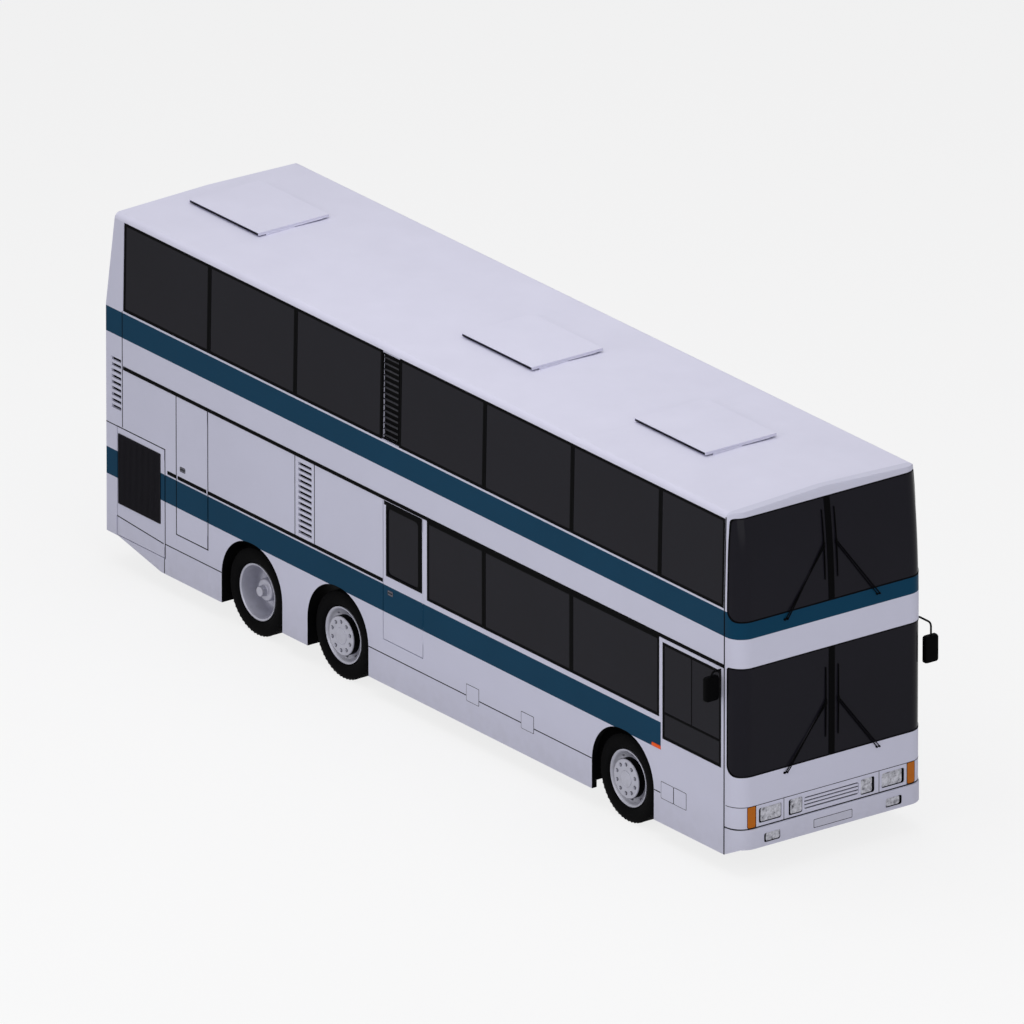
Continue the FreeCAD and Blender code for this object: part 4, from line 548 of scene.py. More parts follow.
def addSurround(strength):
    world = bpy.data.worlds.new("surround")
    world.use_nodes = True
    tree = world.node_tree
    tree.nodes.clear()
    plain = addNode(tree, "Background", {"Color": (1, 1, 1, 1), "Strength": strength})
    white = addNode(tree, "Background", {"Color": (1, 1, 1, 1), "Strength": 1.0})
    mix = addNode(tree, "MixShader", {0: raysSeen(tree), 1: plain.outputs[0], 2: white.outputs[0]})
    output = addNode(tree, "OutputWorld")
    tree.links.new(mix.outputs[0], output.inputs["Surface"])
    bpy.context.scene.world = world


addStage(stageValues)
addSurround(stageValues["surround"])
for lampName in ("overheadLamp", "sideLamp", "frontLamp"):
    addLamp(lampName, stageValues)
bpy.context.scene.view_settings.view_transform = "Standard"
print("stage and lights set")


# repeats the object's own mesh in a row, or in a ring about a line across the coach

def startTree(name, sockets):
    tree = bpy.data.node_groups.new(name, "GeometryNodeTree")
    tree.interface.new_socket("Geometry", in_out="INPUT", socket_type="NodeSocketGeometry")
    for socketName, kind in sockets:
        tree.interface.new_socket(socketName, in_out="INPUT", socket_type="NodeSocket" + kind)
    tree.interface.new_socket("Geometry", in_out="OUTPUT", socket_type="NodeSocketGeometry")
    return tree, tree.nodes.new("NodeGroupInput")


def endTree(tree, group, shape):
    real = treeNode(tree, "GeometryNodeRealizeInstances", {"Geometry": shape})
    dressed = treeNode(tree, "GeometryNodeSetMaterial",
                       {"Geometry": real.outputs[0], "Material": group.outputs["Finish"]})
    end = tree.nodes.new("NodeGroupOutput")
    tree.links.new(dressed.outputs[0], end.inputs[0])
    return tree


def rowTree():
    tree, group = startTree("pieceRow", (("Count", "Int"), ("Step", "Vector"), ("Finish", "Material")))
    line = treeNode(tree, "GeometryNodeMeshLine", {"Count": group.outputs["Count"], "Offset": group.outputs["Step"]})
    spread = treeNode(tree, "GeometryNodeInstanceOnPoints",
                      {"Points": line.outputs[0], "Instance": group.outputs["Geometry"]})
    return endTree(tree, group, spread.outputs[0])


def ringTree():
    tree, group = startTree("pieceRing", (("Count", "Int"), ("Centre", "Vector"), ("Finish", "Material")))
    line = treeNode(tree, "GeometryNodeMeshLine", {"Count": group.outputs["Count"],
                                                   "Start Location": group.outputs["Centre"], "Offset": (0, 0, 0)})
    order = treeNode(tree, "GeometryNodeInputIndex")
    step = treeNode(tree, "ShaderNodeMath", {0: 2 * math.pi, 1: group.outputs["Count"]}, operation="DIVIDE")
    angle = treeNode(tree, "ShaderNodeMath", {0: order.outputs[0], 1: step.outputs[0]}, operation="MULTIPLY")
    turn = treeNode(tree, "ShaderNodeCombineXYZ", {"Y": angle.outputs[0]})
    spread = treeNode(tree, "GeometryNodeInstanceOnPoints",
                      {"Points": line.outputs[0], "Instance": group.outputs["Geometry"], "Rotation": turn.outputs[0]})
    return endTree(tree, group, spread.outputs[0])


repeatTrees = {"row": rowTree(), "ring": ringTree()}


# one mesh shape becomes a row or a ring of it
def repeatShape(name, shape, kind, finish, **values):
    made = makeObject(name, shape)
    tree = repeatTrees[kind]
    change = made.modifiers.new("repeat", "NODES")
    change.node_group = tree
    values["Finish"] = finish
    for socket in tree.interface.items_tree:
        if socket.in_out == "INPUT" and socket.name in values:
            change[socket.identifier] = values[socket.name]
    settle(made)
    return made


def joinInto(target, others):
    bm = bmesh.new()
    bm.from_mesh(target.data)
    for other in others:
        bm.from_mesh(other.data)
        bpy.data.objects.remove(other)
    bm.to_mesh(target.data)
    bm.free()
    return target


# nose: smooth levels, the same lean as the frame's, with the screens cut out of it

noseLow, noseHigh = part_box("front_panel")
noseValues = {
    "reach": noseHigh.x - seamX, "leanUp": 2.6, "leanIn": 0.11, "edgeUp": 4.068, "edgeIn": 0.03, "corner": 0.2,
    "wall": 0.05, "skin": 0.003, "glass": 0.01, "roofEdge": 4.088, "roofRound": 0.066, "roofThick": 0.05,
    "levels": 14, "cornerSteps": 14, "proud": 0.0015, "spare": 0.02, "long": 0.4, "sill": 0.3,
}
screenValues = {
    "back": 0.045, "lower": (1.125, 2.365), "upper": (2.88, 4.035), "lowRound": 0.13, "topRound": 0.04,
    "post": 0.025, "rubber": 0.014, "out": 0.4, "frontRound": 0.01, "sideways": 1.2,
}


# how far the middle of the nose stands ahead of the seam
def noseReach(up, values=noseValues):
    share = min(1, max(0, up - values["leanUp"]) / (values["edgeUp"] - values["leanUp"]))
    reach = values["reach"] - values["leanIn"] * share ** 2
    over = max(0, up - values["edgeUp"]) / (roofTop - values["edgeUp"])
    return reach - values["edgeIn"] * over ** 2


# plan of the nose from the right seam round to the left one
def nosePlan(up, inset, values=noseValues):
    return endPlan(seamX, seamX + (noseReach(up) - inset), halfWide - inset, values["corner"] - inset,
                   values["cornerSteps"])


# a point of the nose's face, and how far it stands out there
def onNose(across, up, depth, values=noseValues):
    reach = noseReach(up)
    middle = halfWide - values["corner"]
    over = max(0, abs(across) - middle)
    radius = values["corner"]
    fall = math.sqrt(max(0, radius ** 2 - over ** 2))
    lean = wallReach(up) / halfWide
    return Vector((seamX + reach - radius + fall + depth, across * lean, up))


def noseSolid(name, inset, drop, values=noseValues):
    foot = noseLow.z - (values["spare"] if inset > 0 else 0)
    ups = [foot, values["leanUp"]]
    ups += [values["leanUp"] + (values["edgeUp"] - values["leanUp"]) * step / values["levels"]
            for step in range(1, values["levels"] + 1)]
    ups += [values["edgeUp"] + (roofTop + values["spare"] - values["edgeUp"]) * step / 4 for step in range(1, 5)]
    bm = bmesh.new()
    addRings(bm, [loopAt(nosePlan(up, inset), up, 2) for up in ups], True)
    solid = makeObject(name, bm)
    return carve(solid, coachSection(name + "Section", inset, drop), "INTERSECT")


# cross-section of the coach as the roof and walls have it
def coachSection(name, inset, drop, values=noseValues, steps=8):
    side = halfWide - inset
    edge = side - tumbleIn
    radius = values["roofRound"] - drop
    top = values["roofEdge"] - drop
    half = [(side, values["sill"]), (side, seatLine), (edge, cantLine)]
    for step in range(steps + 1):
        angle = math.pi / 2 * step / steps
        half.append((edge - radius + radius * math.cos(angle), top - radius + radius * math.sin(angle) +
                     (roofTop - values["roofEdge"]) * radius / edge * step / steps))
    half.append((0, roofTop - drop))
    loop = half + [(-across, up) for across, up in half[-2::-1]]
    bm = bmesh.new()
    addPrism(bm, loop, (seamX, seamX + values["long"]), 0)
    return makeObject(name, bm)


def screenTool(name, inset, values=screenValues):
    bm = bmesh.new()
    for low, high in (values["lower"], values["upper"]):
        loop = roundedLoop((seamX + values["back"] + inset, low + inset), (seamX + values["out"], high - inset),
                           (values["lowRound"], values["frontRound"], values["frontRound"], values["topRound"]), 8)
        for side in (right, left):
            addPrism(bm, loop, (side * (values["post"] + inset), side * halfWide * values["sideways"]), 1)
    return makeObject(name, bm)


def noseShell(name, outside, inside, drops):
    shell = noseSolid(name, outside, drops[0])
    return carve(shell, noseSolid(name + "Inside", inside, drops[1]), "DIFFERENCE")


def addNose(values=noseValues, screens=screenValues):
    panel = noseShell("noseBody", 0, values["wall"], (0, values["roofThick"]))
    tool = screenTool("screenTool", 0)
    carve(panel, tool, "DIFFERENCE", True)
    carve(panel, lampTool("lampTool"), "DIFFERENCE")
    glass = noseShell("noseGlass", values["skin"], values["skin"] + values["glass"],
                      (values["skin"], values["skin"] + values["glass"]))
    carve(glass, tool, "INTERSECT", True)
    rubber = noseShell("screenRubber", -values["proud"], values["skin"], (-values["proud"], values["skin"]))
    carve(rubber, tool, "INTERSECT")
    carve(rubber, screenTool("screenToolSmall", screens["rubber"]), "DIFFERENCE")
    posts = noseShell("screenPosts", -values["proud"], values["skin"] * 4, (-values["proud"], values["skin"] * 4))
    bm = bmesh.new()
    for low, high in (screens["lower"], screens["upper"]):
        addBar(bm, (seamX, -screens["post"], low), (seamX + screens["out"], screens["post"], high), 0.001, 1)
    carve(posts, makeObject("postTool", bm), "INTERSECT")
    joinInto(rubber, [posts])
    finishPiece(panel, "coach_body", "body_paint", replaced=("front_panel",))
    finishPiece(glass, "coach_body", "dark_glass", replaced=("windscreens",))
    finishPiece(rubber, "coach_body", "black_trim")


bumperLow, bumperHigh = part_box("front_bumper")
bumperFace = bumperHigh.x - 0.003


def onBumper(across, up, depth):
    return Vector((bumperFace + depth, across, up))


lampValues = {
    "outer": ((0.655, 0.568), (0.97, 0.752)), "inner": ((0.378, 0.558), (0.576, 0.752)),
    "amber": ((1.0, 0.54), (1.11, 0.79)), "grille": ((-0.36, 0.588), (0.36, 0.724)),
    "fog": ((0.69, 0.345), (0.92, 0.465)), "round": 0.022, "bezel": 0.008, "shadeBand": 0.026, "shadeBandLow": 0.008,
    "topEdge": 0.003, "amberEdge": 0.004, "floor": -0.03, "holes": (0.02, 0.4),
    "lensDepths": (-0.012, -0.007), "rimDepths": (-0.004, 0.003), "bezelFace": -0.003, "amberFaces": (0.001, 0.002),
    "bowlBack": 0.004, "spots": {"outer": (0.33, 0.7), "inner": (0.45,), "fog": (0.45,)},
    "bowlHigh": 0.45, "bowlWide": 0.24, "bowlMost": 0.09,
    "bowl": ((-0.002, 1.0), (0.014, 1.0), (0.015, 0.94), (0.004, 0.72), (0.001, 0.4), (0.001, 0.2), (0.013, 0.17),
             (0.016, 0.1)),
}


def lampLoop(values, key, side, inset=0.0, steps=4):
    return sideLoop(insetLoop(*values[key], inset, values["round"], steps), side)


# the lens stops short of the bezel's outer side and foot, so the black bezel shows in a band there: painted shade
def lensLoop(values, key, side, steps=4):
    (lowAlong, lowUp), (highAlong, highUp) = values[key]
    edge = values["bezel"]
    return sideLoop(roundedLoop((lowAlong + edge, lowUp + edge + values["shadeBandLow"]),
                                (highAlong - edge - values["shadeBand"], highUp - edge - values["topEdge"]),
                                values["round"], steps), side)


def lampTool(name, values=lampValues):
    bm = bmesh.new()
    near, far = values["holes"]
    loops = [lampLoop(values, key, side) for side in (right, left) for key in ("outer", "inner", "amber")]
    for loop in loops + [roundedLoop(*values["grille"], values["round"], 4)]:
        addPrism(bm, loop, (seamX + near, seamX + far), 0)
    return makeObject(name, bm)


def addLamps(values=lampValues):
    lenses, bezels, ambers, bowls, rims = bmesh.new(), bmesh.new(), bmesh.new(), bmesh.new(), bmesh.new()
    floor, edge = values["floor"], values["amberEdge"]
    for side in (right, left):
        for key in ("outer", "inner", "fog"):
            place = onBumper if key == "fog" else onNose
            outer, middle, inner = [lampLoop(values, key, side, values["bezel"] * share) for share in (0, 0.5, 1)]
            lens = lensLoop(values, key, side)
            addPlate(lenses, lens, place, *values["lensDepths"])
            addFrame(bezels, middle, lens, place, floor, values["bezelFace"])
            addFrame(rims, outer, inner, place, *values["rimDepths"])
            addPlate(bowls, inner, place, floor - values["bowlBack"], floor)
            (lowAcross, lowUp), (highAcross, highUp) = values[key]
            wide = values["bowlWide"] * (highAcross - lowAcross) if key == "outer" else values["bowlMost"]
            radius = min(values["bowlHigh"] * (highUp - lowUp), wide)
            for spot in values["spots"][key]:
                across = side * (lowAcross + (highAcross - lowAcross) * spot)
                addKnob(bowls, place(across, (lowUp + highUp) / 2, floor), values["bowl"], radius, 28)
        amber, (lensFace, rimFace) = lampLoop(values, "amber", side, edge), values["amberFaces"]
        addPlate(ambers, amber, onNose, floor, lensFace)
        addFrame(bezels, lampLoop(values, "amber", side), amber, onNose, floor, rimFace)
    addPiece("headlampReflectors", bowls, "clear_lamp", finishes["reflector"], replaced=("front_lamps",))
    addPiece("headlampLenses", lenses, "clear_lamp")
    # the bezels are black trim; where they show past the lens at each lamp's outer side and foot they are painted
    # shade
    addPiece("lampBezelsAndShade", bezels, "black_trim")
    addPiece("lampRims", rims, "body_paint")
    addPiece("indicatorLenses", ambers, "amber_lamp", replaced=("indicator_lamps",))


# side windows: black frames round the panes and over the posts between them

windowValues = {
    "upper": (3.01, 4.02), "lower": (1.42, 2.33), "frame": 0.033, "round": 0.008, "outerRound": 0.004, "proud": 0.003,
    "inside": 0.004, "upperEnds": (0.01, 10.664), "posts": (1.134, 2.679, 4.224), "vent": (5.729, 6.039),
    "rearPosts": (7.584, 9.129), "lowerEnds": {right: (5.23,), left: (5.23, 6.018)},
}
driverValues = {
    "along": (fromSeam(1.075), fromSeam(0.051)), "up": (1.187, 2.285), "barUp": 1.487, "bar": 0.026,
    "post": fromSeam(0.568), "barOut": 0.004, "postOut": 0.003, "barIn": 0.01,
}


def windowCells(side, values=windowValues):
    first, last = values["upperEnds"]
    rows = (((first,) + values["posts"] + values["vent"][:1], values["upper"]),
            (values["vent"][1:] + values["rearPosts"] + (last,), values["upper"]),
            (values["posts"] + values["lowerEnds"][side], values["lower"]))
    return [(near, far, span) for edges, span in rows for near, far in zip(edges, edges[1:])]


def addWindowFrames(side, values=windowValues, own=driverValues):
    bm = bmesh.new()
    place = onSide(side)
    for near, far, (low, high) in windowCells(side):
        addWindowFrame(bm, place, (fromSeam(far), fromSeam(near)), (low, high), values)
    if side == right:
        addWindowFrame(bm, place, own["along"], own["up"], values)
        low, high = own["along"][0] + values["frame"], own["along"][1] - values["frame"]
        half, level, inside = own["bar"] / 2, own["barUp"], -halfWide + own["barIn"]
        addBar(bm, (low, -halfWide - own["barOut"], level - half), (high, inside, level + half), 0.002, 1)
        addBar(bm, (own["post"] - half / 2, -halfWide - own["postOut"], level),
               (own["post"] + half / 2, inside, own["up"][1] - values["frame"]), 0.002, 1)
    addPiece("windowFrames_" + sideWords[side], bm, "black_trim")


def addWindowFrame(bm, place, along, up, values):
    low, high = zip(along, up)
    addFrame(bm, roundedLoop(low, high, values["outerRound"]), insetLoop(low, high, values["frame"], values["round"]),
             place, -values["inside"], values["proud"])


# thin trim along the walls: the belt, the line below the blank panels, panel seams and the skirt line

trimValues = {
    "belt": (2.332, 2.374), "beltEnds": (0.0, 10.67), "panelLine": (1.38, 1.421), "panelEnds": (6.018, 9.876),
    "panelDoor": 0.004, "seam": 0.012, "proud": 0.001, "thin": 0.0005, "doorEdge": 0.013, "doorLine": 0.012,
    "frontSeam": (-0.012, 0.005, 0.217, 4.04), "skirtUp": 0.56,
    "skirtSpans": ((1.11, 1.225), (2.316, 6.274), (8.906, 9.93)), "rearSeam": (9.936, 0.22, 0.39),
    "cornerSeam": (10.688, 1.663, 3.0), "cornerLine": (10.778, 10.981, 1.643), "ventSeams": (7.237, 7.585),
    "rearSkirt": ((10.79, 0.615), (9.95, 0.556)), "round": 0.004, "sunk": -0.002, "beltFace": (0.006, 0.002),
    "panelFace": (0.005, 0.002), "skirtDepths": (-0.001, 0.001, 0.0002), "doorMargin": 0.02,
}


# dark lines over the gaps round a door, on the wall's side of them
def addDoorLines(bm, place, door, values=trimValues):
    low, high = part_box(door)
    edge, wide = values["doorEdge"], values["doorLine"]
    rear, fore = low.x - edge, high.x + edge
    foot, top = low.z - edge, min(high.z + edge, values["belt"][0])
    radiator = door.startswith("radiator")
    corners = [((start, foot), (start + wide, top)) for start in ([fore - wide] if radiator else [rear, fore - wide])]
    level = top - wide if radiator else foot
    for (near, down), (far, up) in corners + [((rear, level), (fore, level + wide))]:
        loop = [(near, down), (far, down), (far, up), (near, up)]
        addPlate(bm, loop, place, values["sunk"], values["proud"], values["thin"])


def addTrim(side, values=trimValues):
    bm = bmesh.new()
    place = onSide(side)

    def strip(near, far, low, high, proud, edge):
        loop = roundedLoop((fromSeam(far), low), (fromSeam(near), high), min(values["round"], (high - low) / 3), 3)
        addPlate(bm, loop, place, values["sunk"], proud, edge)

    strip(*values["beltEnds"], *values["belt"], *values["beltFace"])
    (doorLow, doorHigh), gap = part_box("luggage_door_" + sideWords[side]), values["panelDoor"]
    near, far = values["panelEnds"]
    strip(near, seamX - doorHigh.x - gap, *values["panelLine"], *values["panelFace"])
    strip(seamX - doorLow.x + gap, far, *values["panelLine"], *values["panelFace"])
    seam, proud, thin = values["seam"] / 2, values["proud"], values["thin"]
    for near, far in values["skirtSpans"]:
        strip(near, far, values["skirtUp"] - seam, values["skirtUp"] + seam, proud, thin)
    ventSeams = [(distance, values["panelLine"][1], values["belt"][0]) for distance in values["ventSeams"]]
    for distance, low, high in [values["rearSeam"], values["cornerSeam"]] + ventSeams:
        strip(distance - seam, distance + seam, low, high, proud, thin)
    near, far, low = values["cornerLine"]
    strip(near, far, low, low + values["seam"], proud, thin)
    addDoorLines(bm, place, "luggage_door_" + sideWords[side], values)
    addDoorLines(bm, place, "radiator_door_" + sideWords[side], values)
    near, far, low, high = values["frontSeam"]
    strip(near, far, low, seatLine, proud * 2, thin)
    strip(near, far, seatLine, high, proud * 2, thin)
    addPiece("bodyTrim_" + sideWords[side], bm, "black_trim")
    middle, skirt = bmesh.new(), bmesh.new()
    (low, high), margin = values["panelLine"], values["doorMargin"]
    loop = roundedLoop((doorLow.x + margin, low), (doorHigh.x - margin, high), values["round"], 3)
    addPlate(middle, loop, place, values["sunk"], *values["panelFace"])
    addPiece("doorLine_" + sideWords[side], middle, "black_trim", body="luggage_door_%s_body" % sideWords[side])
    (far, farUp), (near, nearUp) = [(fromSeam(distance), up) for distance, up in values["rearSkirt"]]
    loop = [(far, farUp - seam), (near, nearUp - seam), (near, nearUp + seam), (far, farUp + seam)]
    addPlate(skirt, loop, place, *values["skirtDepths"])
    addPiece("rearSkirtLine_" + sideWords[side], skirt, "black_trim", body="radiator_door_%s_body" % sideWords[side])


# black linings inside the wheel arches

archValues = {
    "backs": (1.77, 6.82, 8.36), "deeps": (0.062, 0.4, 0.66), "half": 0.545, "round": 0.52, "top": 1.065,
    "foot": 0.216, "thick": 0.004, "steps": 30, "guard": (0.614, 0.619), "guardAcross": (0.6, 1.186),
    "guardUp": (0.26, 1.07), "proud": 0.001, "skin": 0.0006,
}


def addArches(side, values=archValues):
    bm = bmesh.new()
    near = side * (halfWide + values["proud"])
    for distance, deep in zip(values["backs"], values["deeps"]):
        far = side * (halfWide - deep)
        middle, half, radius = fromSeam(distance), values["half"], values["round"]
        rows = []
        for share in range(values["steps"] + 3):
            angle = math.pi * min(max(share - 1, 0), values["steps"]) / values["steps"]
            outward = 1 if angle < math.pi / 2 else -1
            centre = (middle + outward * (half - radius), values["top"] - radius)
            row = []
            for inset in (values["skin"], values["thick"]):
                along = centre[0] + (radius - inset) * math.cos(angle)
                up = centre[1] + (radius - inset) * math.sin(angle)
                if share in (0, values["steps"] + 2):
                    up = values["foot"]
                row.append((along, up))
            (along, up), (innerAlong, innerUp) = row
            rows.append([Vector((along, near, up)), Vector((innerAlong, near, innerUp)),
                         Vector((innerAlong, far, innerUp)), Vector((along, far, up))])
        addRings(bm, rows, True)
    middle = fromSeam(values["backs"][0])
    across = sorted(side * spot for spot in values["guardAcross"])
    for end in (-1, 1):
        along = sorted(middle + end * spot for spot in values["guard"])
        addBar(bm, (along[0], across[0], values["guardUp"][0]), (along[1], across[1], values["guardUp"][1]), 0.001, 1)
    addPiece("archLinings_" + sideWords[side], bm, "black_trim")


# louvres: the upper one has dark slats, the others are white panels with black slots

louvreValues = {
    "upper": {"along": (fromSeam(6.02), fromSeam(5.749)), "up": (3.035, 3.985), "count": 14},
    "lower": {"along": (fromSeam(7.526), fromSeam(7.288)), "up": (1.46, 2.278), "slots": 13,
              "panel": ((fromSeam(7.585), 1.42), (fromSeam(7.237), 2.33))},
    "corner": {"along": (fromSeam(10.882), fromSeam(10.71)), "up": (1.843, 2.427), "slots": 9},
    "deep": 0.034, "tilt": 34, "thick": 0.003, "slat": 0.021, "edge": 0.012, "slot": 0.036, "barDeep": 0.026,
    "seam": 0.0005, "round": 0.003, "overlap": 0.002, "rimDepths": (-0.02, 0.0025), "backThick": (0.001, 0.003),
}


# like onSide, but with the depth kept from the wall's widest place
def uprightSide(side):
    def place(along, up, depth):
        return Vector((along, side * (halfWide + depth), up))
    return place


def addSlats(side, values=louvreValues):
    own = values["upper"]
    low, high = own["up"]
    step = (high - low) / own["count"]
    lean = (wallReach(high) - wallReach(low)) / (high - low) / 2
    slat = bmesh.new()
    addBar(slat, (own["along"][0], -values["slat"] / 2, -values["thick"] / 2),
           (own["along"][1], values["slat"] / 2, values["thick"] / 2), 0.001, 1)
    turn = Matrix.Translation((0, side * (wallReach(low) - values["deep"] / 2), low + step / 2))
    slat.transform(turn @ Matrix.Rotation(-side * math.radians(values["tilt"]), 4, "X"))
    return repeatShape("louvreSlats_" + sideWords[side], slat, "row", finishes["slat_metal"], Count=own["count"],
                       Step=(0, side * lean * step, step))


def addSlotBars(side, key, values=louvreValues):
    own = values[key]
    low, high = own["up"]
    pitch = (high - low - values["slot"]) / (own["slots"] - 1)
    near, far = sorted((side * (halfWide - values["barDeep"]), side * (halfWide + values["seam"])))
    bar = bmesh.new()
    addBar(bar, (own["along"][0] - 0.001, near, low + values["slot"]), (own["along"][1] + 0.001, far, low + pitch),
           0.002, 1)
    return repeatShape("slotBars_%s_%s" % (key, sideWords[side]), bar, "row", finishes["body_paint"],
                       Count=own["slots"] - 1, Step=(0, 0, pitch))


def addLouvres(side, values=louvreValues):
    finishPiece(addSlats(side), "coach_body", "black_trim", finishes["slat_metal"], replaced=("side_vents",))
    bars = joinInto(addSlotBars(side, "lower"), [addSlotBars(side, "corner")])
    bars.name = "slotBars_" + sideWords[side]
    finishPiece(bars, "coach_body", "body_paint")
    bm, deep, seam, edge = bmesh.new(), values["deep"], values["seam"], values["edge"]
    behind, ahead = values["backThick"]
    for key in ("upper", "lower", "corner"):
        own = values[key]
        low, high = zip(own["along"], own["up"])
        inner = roundedLoop(low, high, values["round"])
        addPlate(bm, shrinkLoop(inner, -edge if key == "upper" else -values["overlap"]), uprightSide(side),
                 -deep - behind, -deep + ahead)
        if key == "upper":
            addFrame(bm, shrinkLoop(inner, -edge), inner, onSide(side), *values["rimDepths"])
        if "panel" in own:
            panel = bmesh.new()
            addFrame(panel, insetLoop(*own["panel"], seam, seam), roundedLoop(low, high, seam), uprightSide(side),
                     -deep + values["overlap"], seam)
            addPiece("slotPanel_" + sideWords[side], panel, "body_paint")
    addPiece("louvreBacks_" + sideWords[side], bm, "black_trim")


# wheels

wheelValues = {
    "radius": 0.49, "half": 0.14, "rim": 0.315, "steps": 72, "grooves": (-0.072, -0.024, 0.024, 0.072),
    "grooveWide": 0.008, "grooveDeep": 0.012, "lugs": 54, "lugLong": 0.02, "lugEnds": (0.12, 0.092), "lugDeep": 0.012,
    "wall": ((0.044, 0.002), (0.03, 0.014), (0.012, 0.03), (0.002, 0.06), (0.0, 0.095), (0.003, 0.13)),
    "shoulder": ((0.008, 0.036), (0.014, 0.018), (0.022, 0.006)), "treadDown": 0.0015, "grooveFoot": 0.7,
    "inset": 0.05, "face": 0.149, "nuts": 10, "nutRing": 0.163, "nutSteps": ((0.012, 0.0155), (0.02, 0.009)),
    "nutFoot": 0.004, "handHoles": 10, "handRing": 0.252, "handHalf": (0.02, 0.01), "handRound": 0.0095,
    "handDeep": (0.02, 0.12), "twinStep": 0.325, "twinFace": -0.152, "washer": 0.0215, "washerUp": (-0.002, 0.001),
}


def tyreProfile(values=wheelValues):
    radius, half, rim = values["radius"], values["half"], values["rim"]
    side = [(half - back, rim + up) for back, up in values["wall"]]
    side += [(half - back, radius - down) for back, down in values["shoulder"]]
    tread = [(-across, up) for across, up in side]
    for groove in values["grooves"]:
        wide, top, foot = values["grooveWide"] / 2, radius - values["treadDown"], radius - values["grooveDeep"]
        narrow = wide * values["grooveFoot"]
        tread += [(groove - wide, top), (groove - narrow, foot), (groove + narrow, foot), (groove + wide, top)]
    return tread + side[::-1]


def addTyre(axle, side, offsets, values=wheelValues):
    name = "tyre_%s_%s" % (axle, sideWords[side])
    low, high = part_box(name)
    centre = Vector(((low.x + high.x) / 2, side * (halfWide - values["inset"] - values["half"]), values["radius"]))
    bm, lug = bmesh.new(), bmesh.new()
    for offset in offsets:
        spot = centre + Vector((0, -side * offset, 0))
        addLathe(bm, tyreProfile(), spot, values["steps"])
        for end in (-1, 1):
            near, far = sorted(end * across for across in values["lugEnds"])
            addBar(lug, (-values["lugLong"] / 2, spot.y - centre.y + near, values["radius"] - values["lugDeep"]),
                   (values["lugLong"] / 2, spot.y - centre.y + far, values["radius"]), 0.0015, 1)
    lugs = repeatShape("lugs", lug, "ring", finishes["tyre"], Count=values["lugs"], Centre=tuple(centre))
    tyre = joinInto(makeObject("treadedTyre_%s_%s" % (axle, sideWords[side]), bm), [lugs])
    finishPiece(tyre, "wheel_%s_%s" % (axle, sideWords[side]), "tyre", replaced=(name,))
    return centre


# profiles are (outwards, radius) from the middle of the wheel
rimProfiles = {
    "single": [(-0.12, 0.315), (-0.105, 0.315), (-0.095, 0.305), (0.09, 0.305), (0.1, 0.316), (0.119, 0.318),
               (0.122, 0.311), (0.114, 0.297), (0.098, 0.286), (0.08, 0.274), (0.066, 0.256), (0.057, 0.238),
               (0.052, 0.222), (0.05, 0.2), (0.05, 0.046), (0.034, 0.046), (0.034, 0.225), (0.045, 0.262),
               (0.062, 0.286), (-0.115, 0.293)],
    "twin": [(-0.12, 0.315), (-0.105, 0.315), (-0.095, 0.305), (0.09, 0.305), (0.1, 0.316), (0.119, 0.318),
             (0.122, 0.311), (0.112, 0.297), (0.07, 0.286), (-0.08, 0.274), (-0.118, 0.258), (-0.14, 0.235),
             (-0.15, 0.205), (-0.152, 0.17), (-0.152, 0.046), (-0.17, 0.046), (-0.17, 0.235), (-0.16, 0.262),
             (-0.13, 0.288)],
    "inner": [(-0.12, 0.315), (-0.105, 0.315), (-0.095, 0.305), (0.095, 0.305), (0.105, 0.315), (0.12, 0.315),
              (0.12, 0.29), (-0.12, 0.29)],
    "drum": [(0.046, 0.218), (0.138, 0.218), (0.146, 0.213), (0.149, 0.204), (0.149, 0.097), (0.1465, 0.095),
             (0.1465, 0.091), (0.151, 0.089), (0.1525, 0.084), (0.153, 0.0005), (0.046, 0.0005)],
    "hub": [(-0.158, 0.14), (-0.12, 0.138), (-0.105, 0.132), (-0.02, 0.128), (0.006, 0.125), (0.018, 0.116),
            (0.022, 0.104), (0.023, 0.066), (0.03, 0.06), (0.084, 0.058), (0.093, 0.052), (0.096, 0.04),
            (0.097, 0.0005), (-0.158, 0.0005)],
    "shadeBand": [(0.06, 0.2185), (0.06, 0.2205), (0.135, 0.2205), (0.135, 0.2185)],
}


def latheProfile(bm, key, side, centre, steps, shift=0.0):
    addLathe(bm, [(side * (across + shift), radius) for across, radius in rimProfiles[key]], centre, steps)


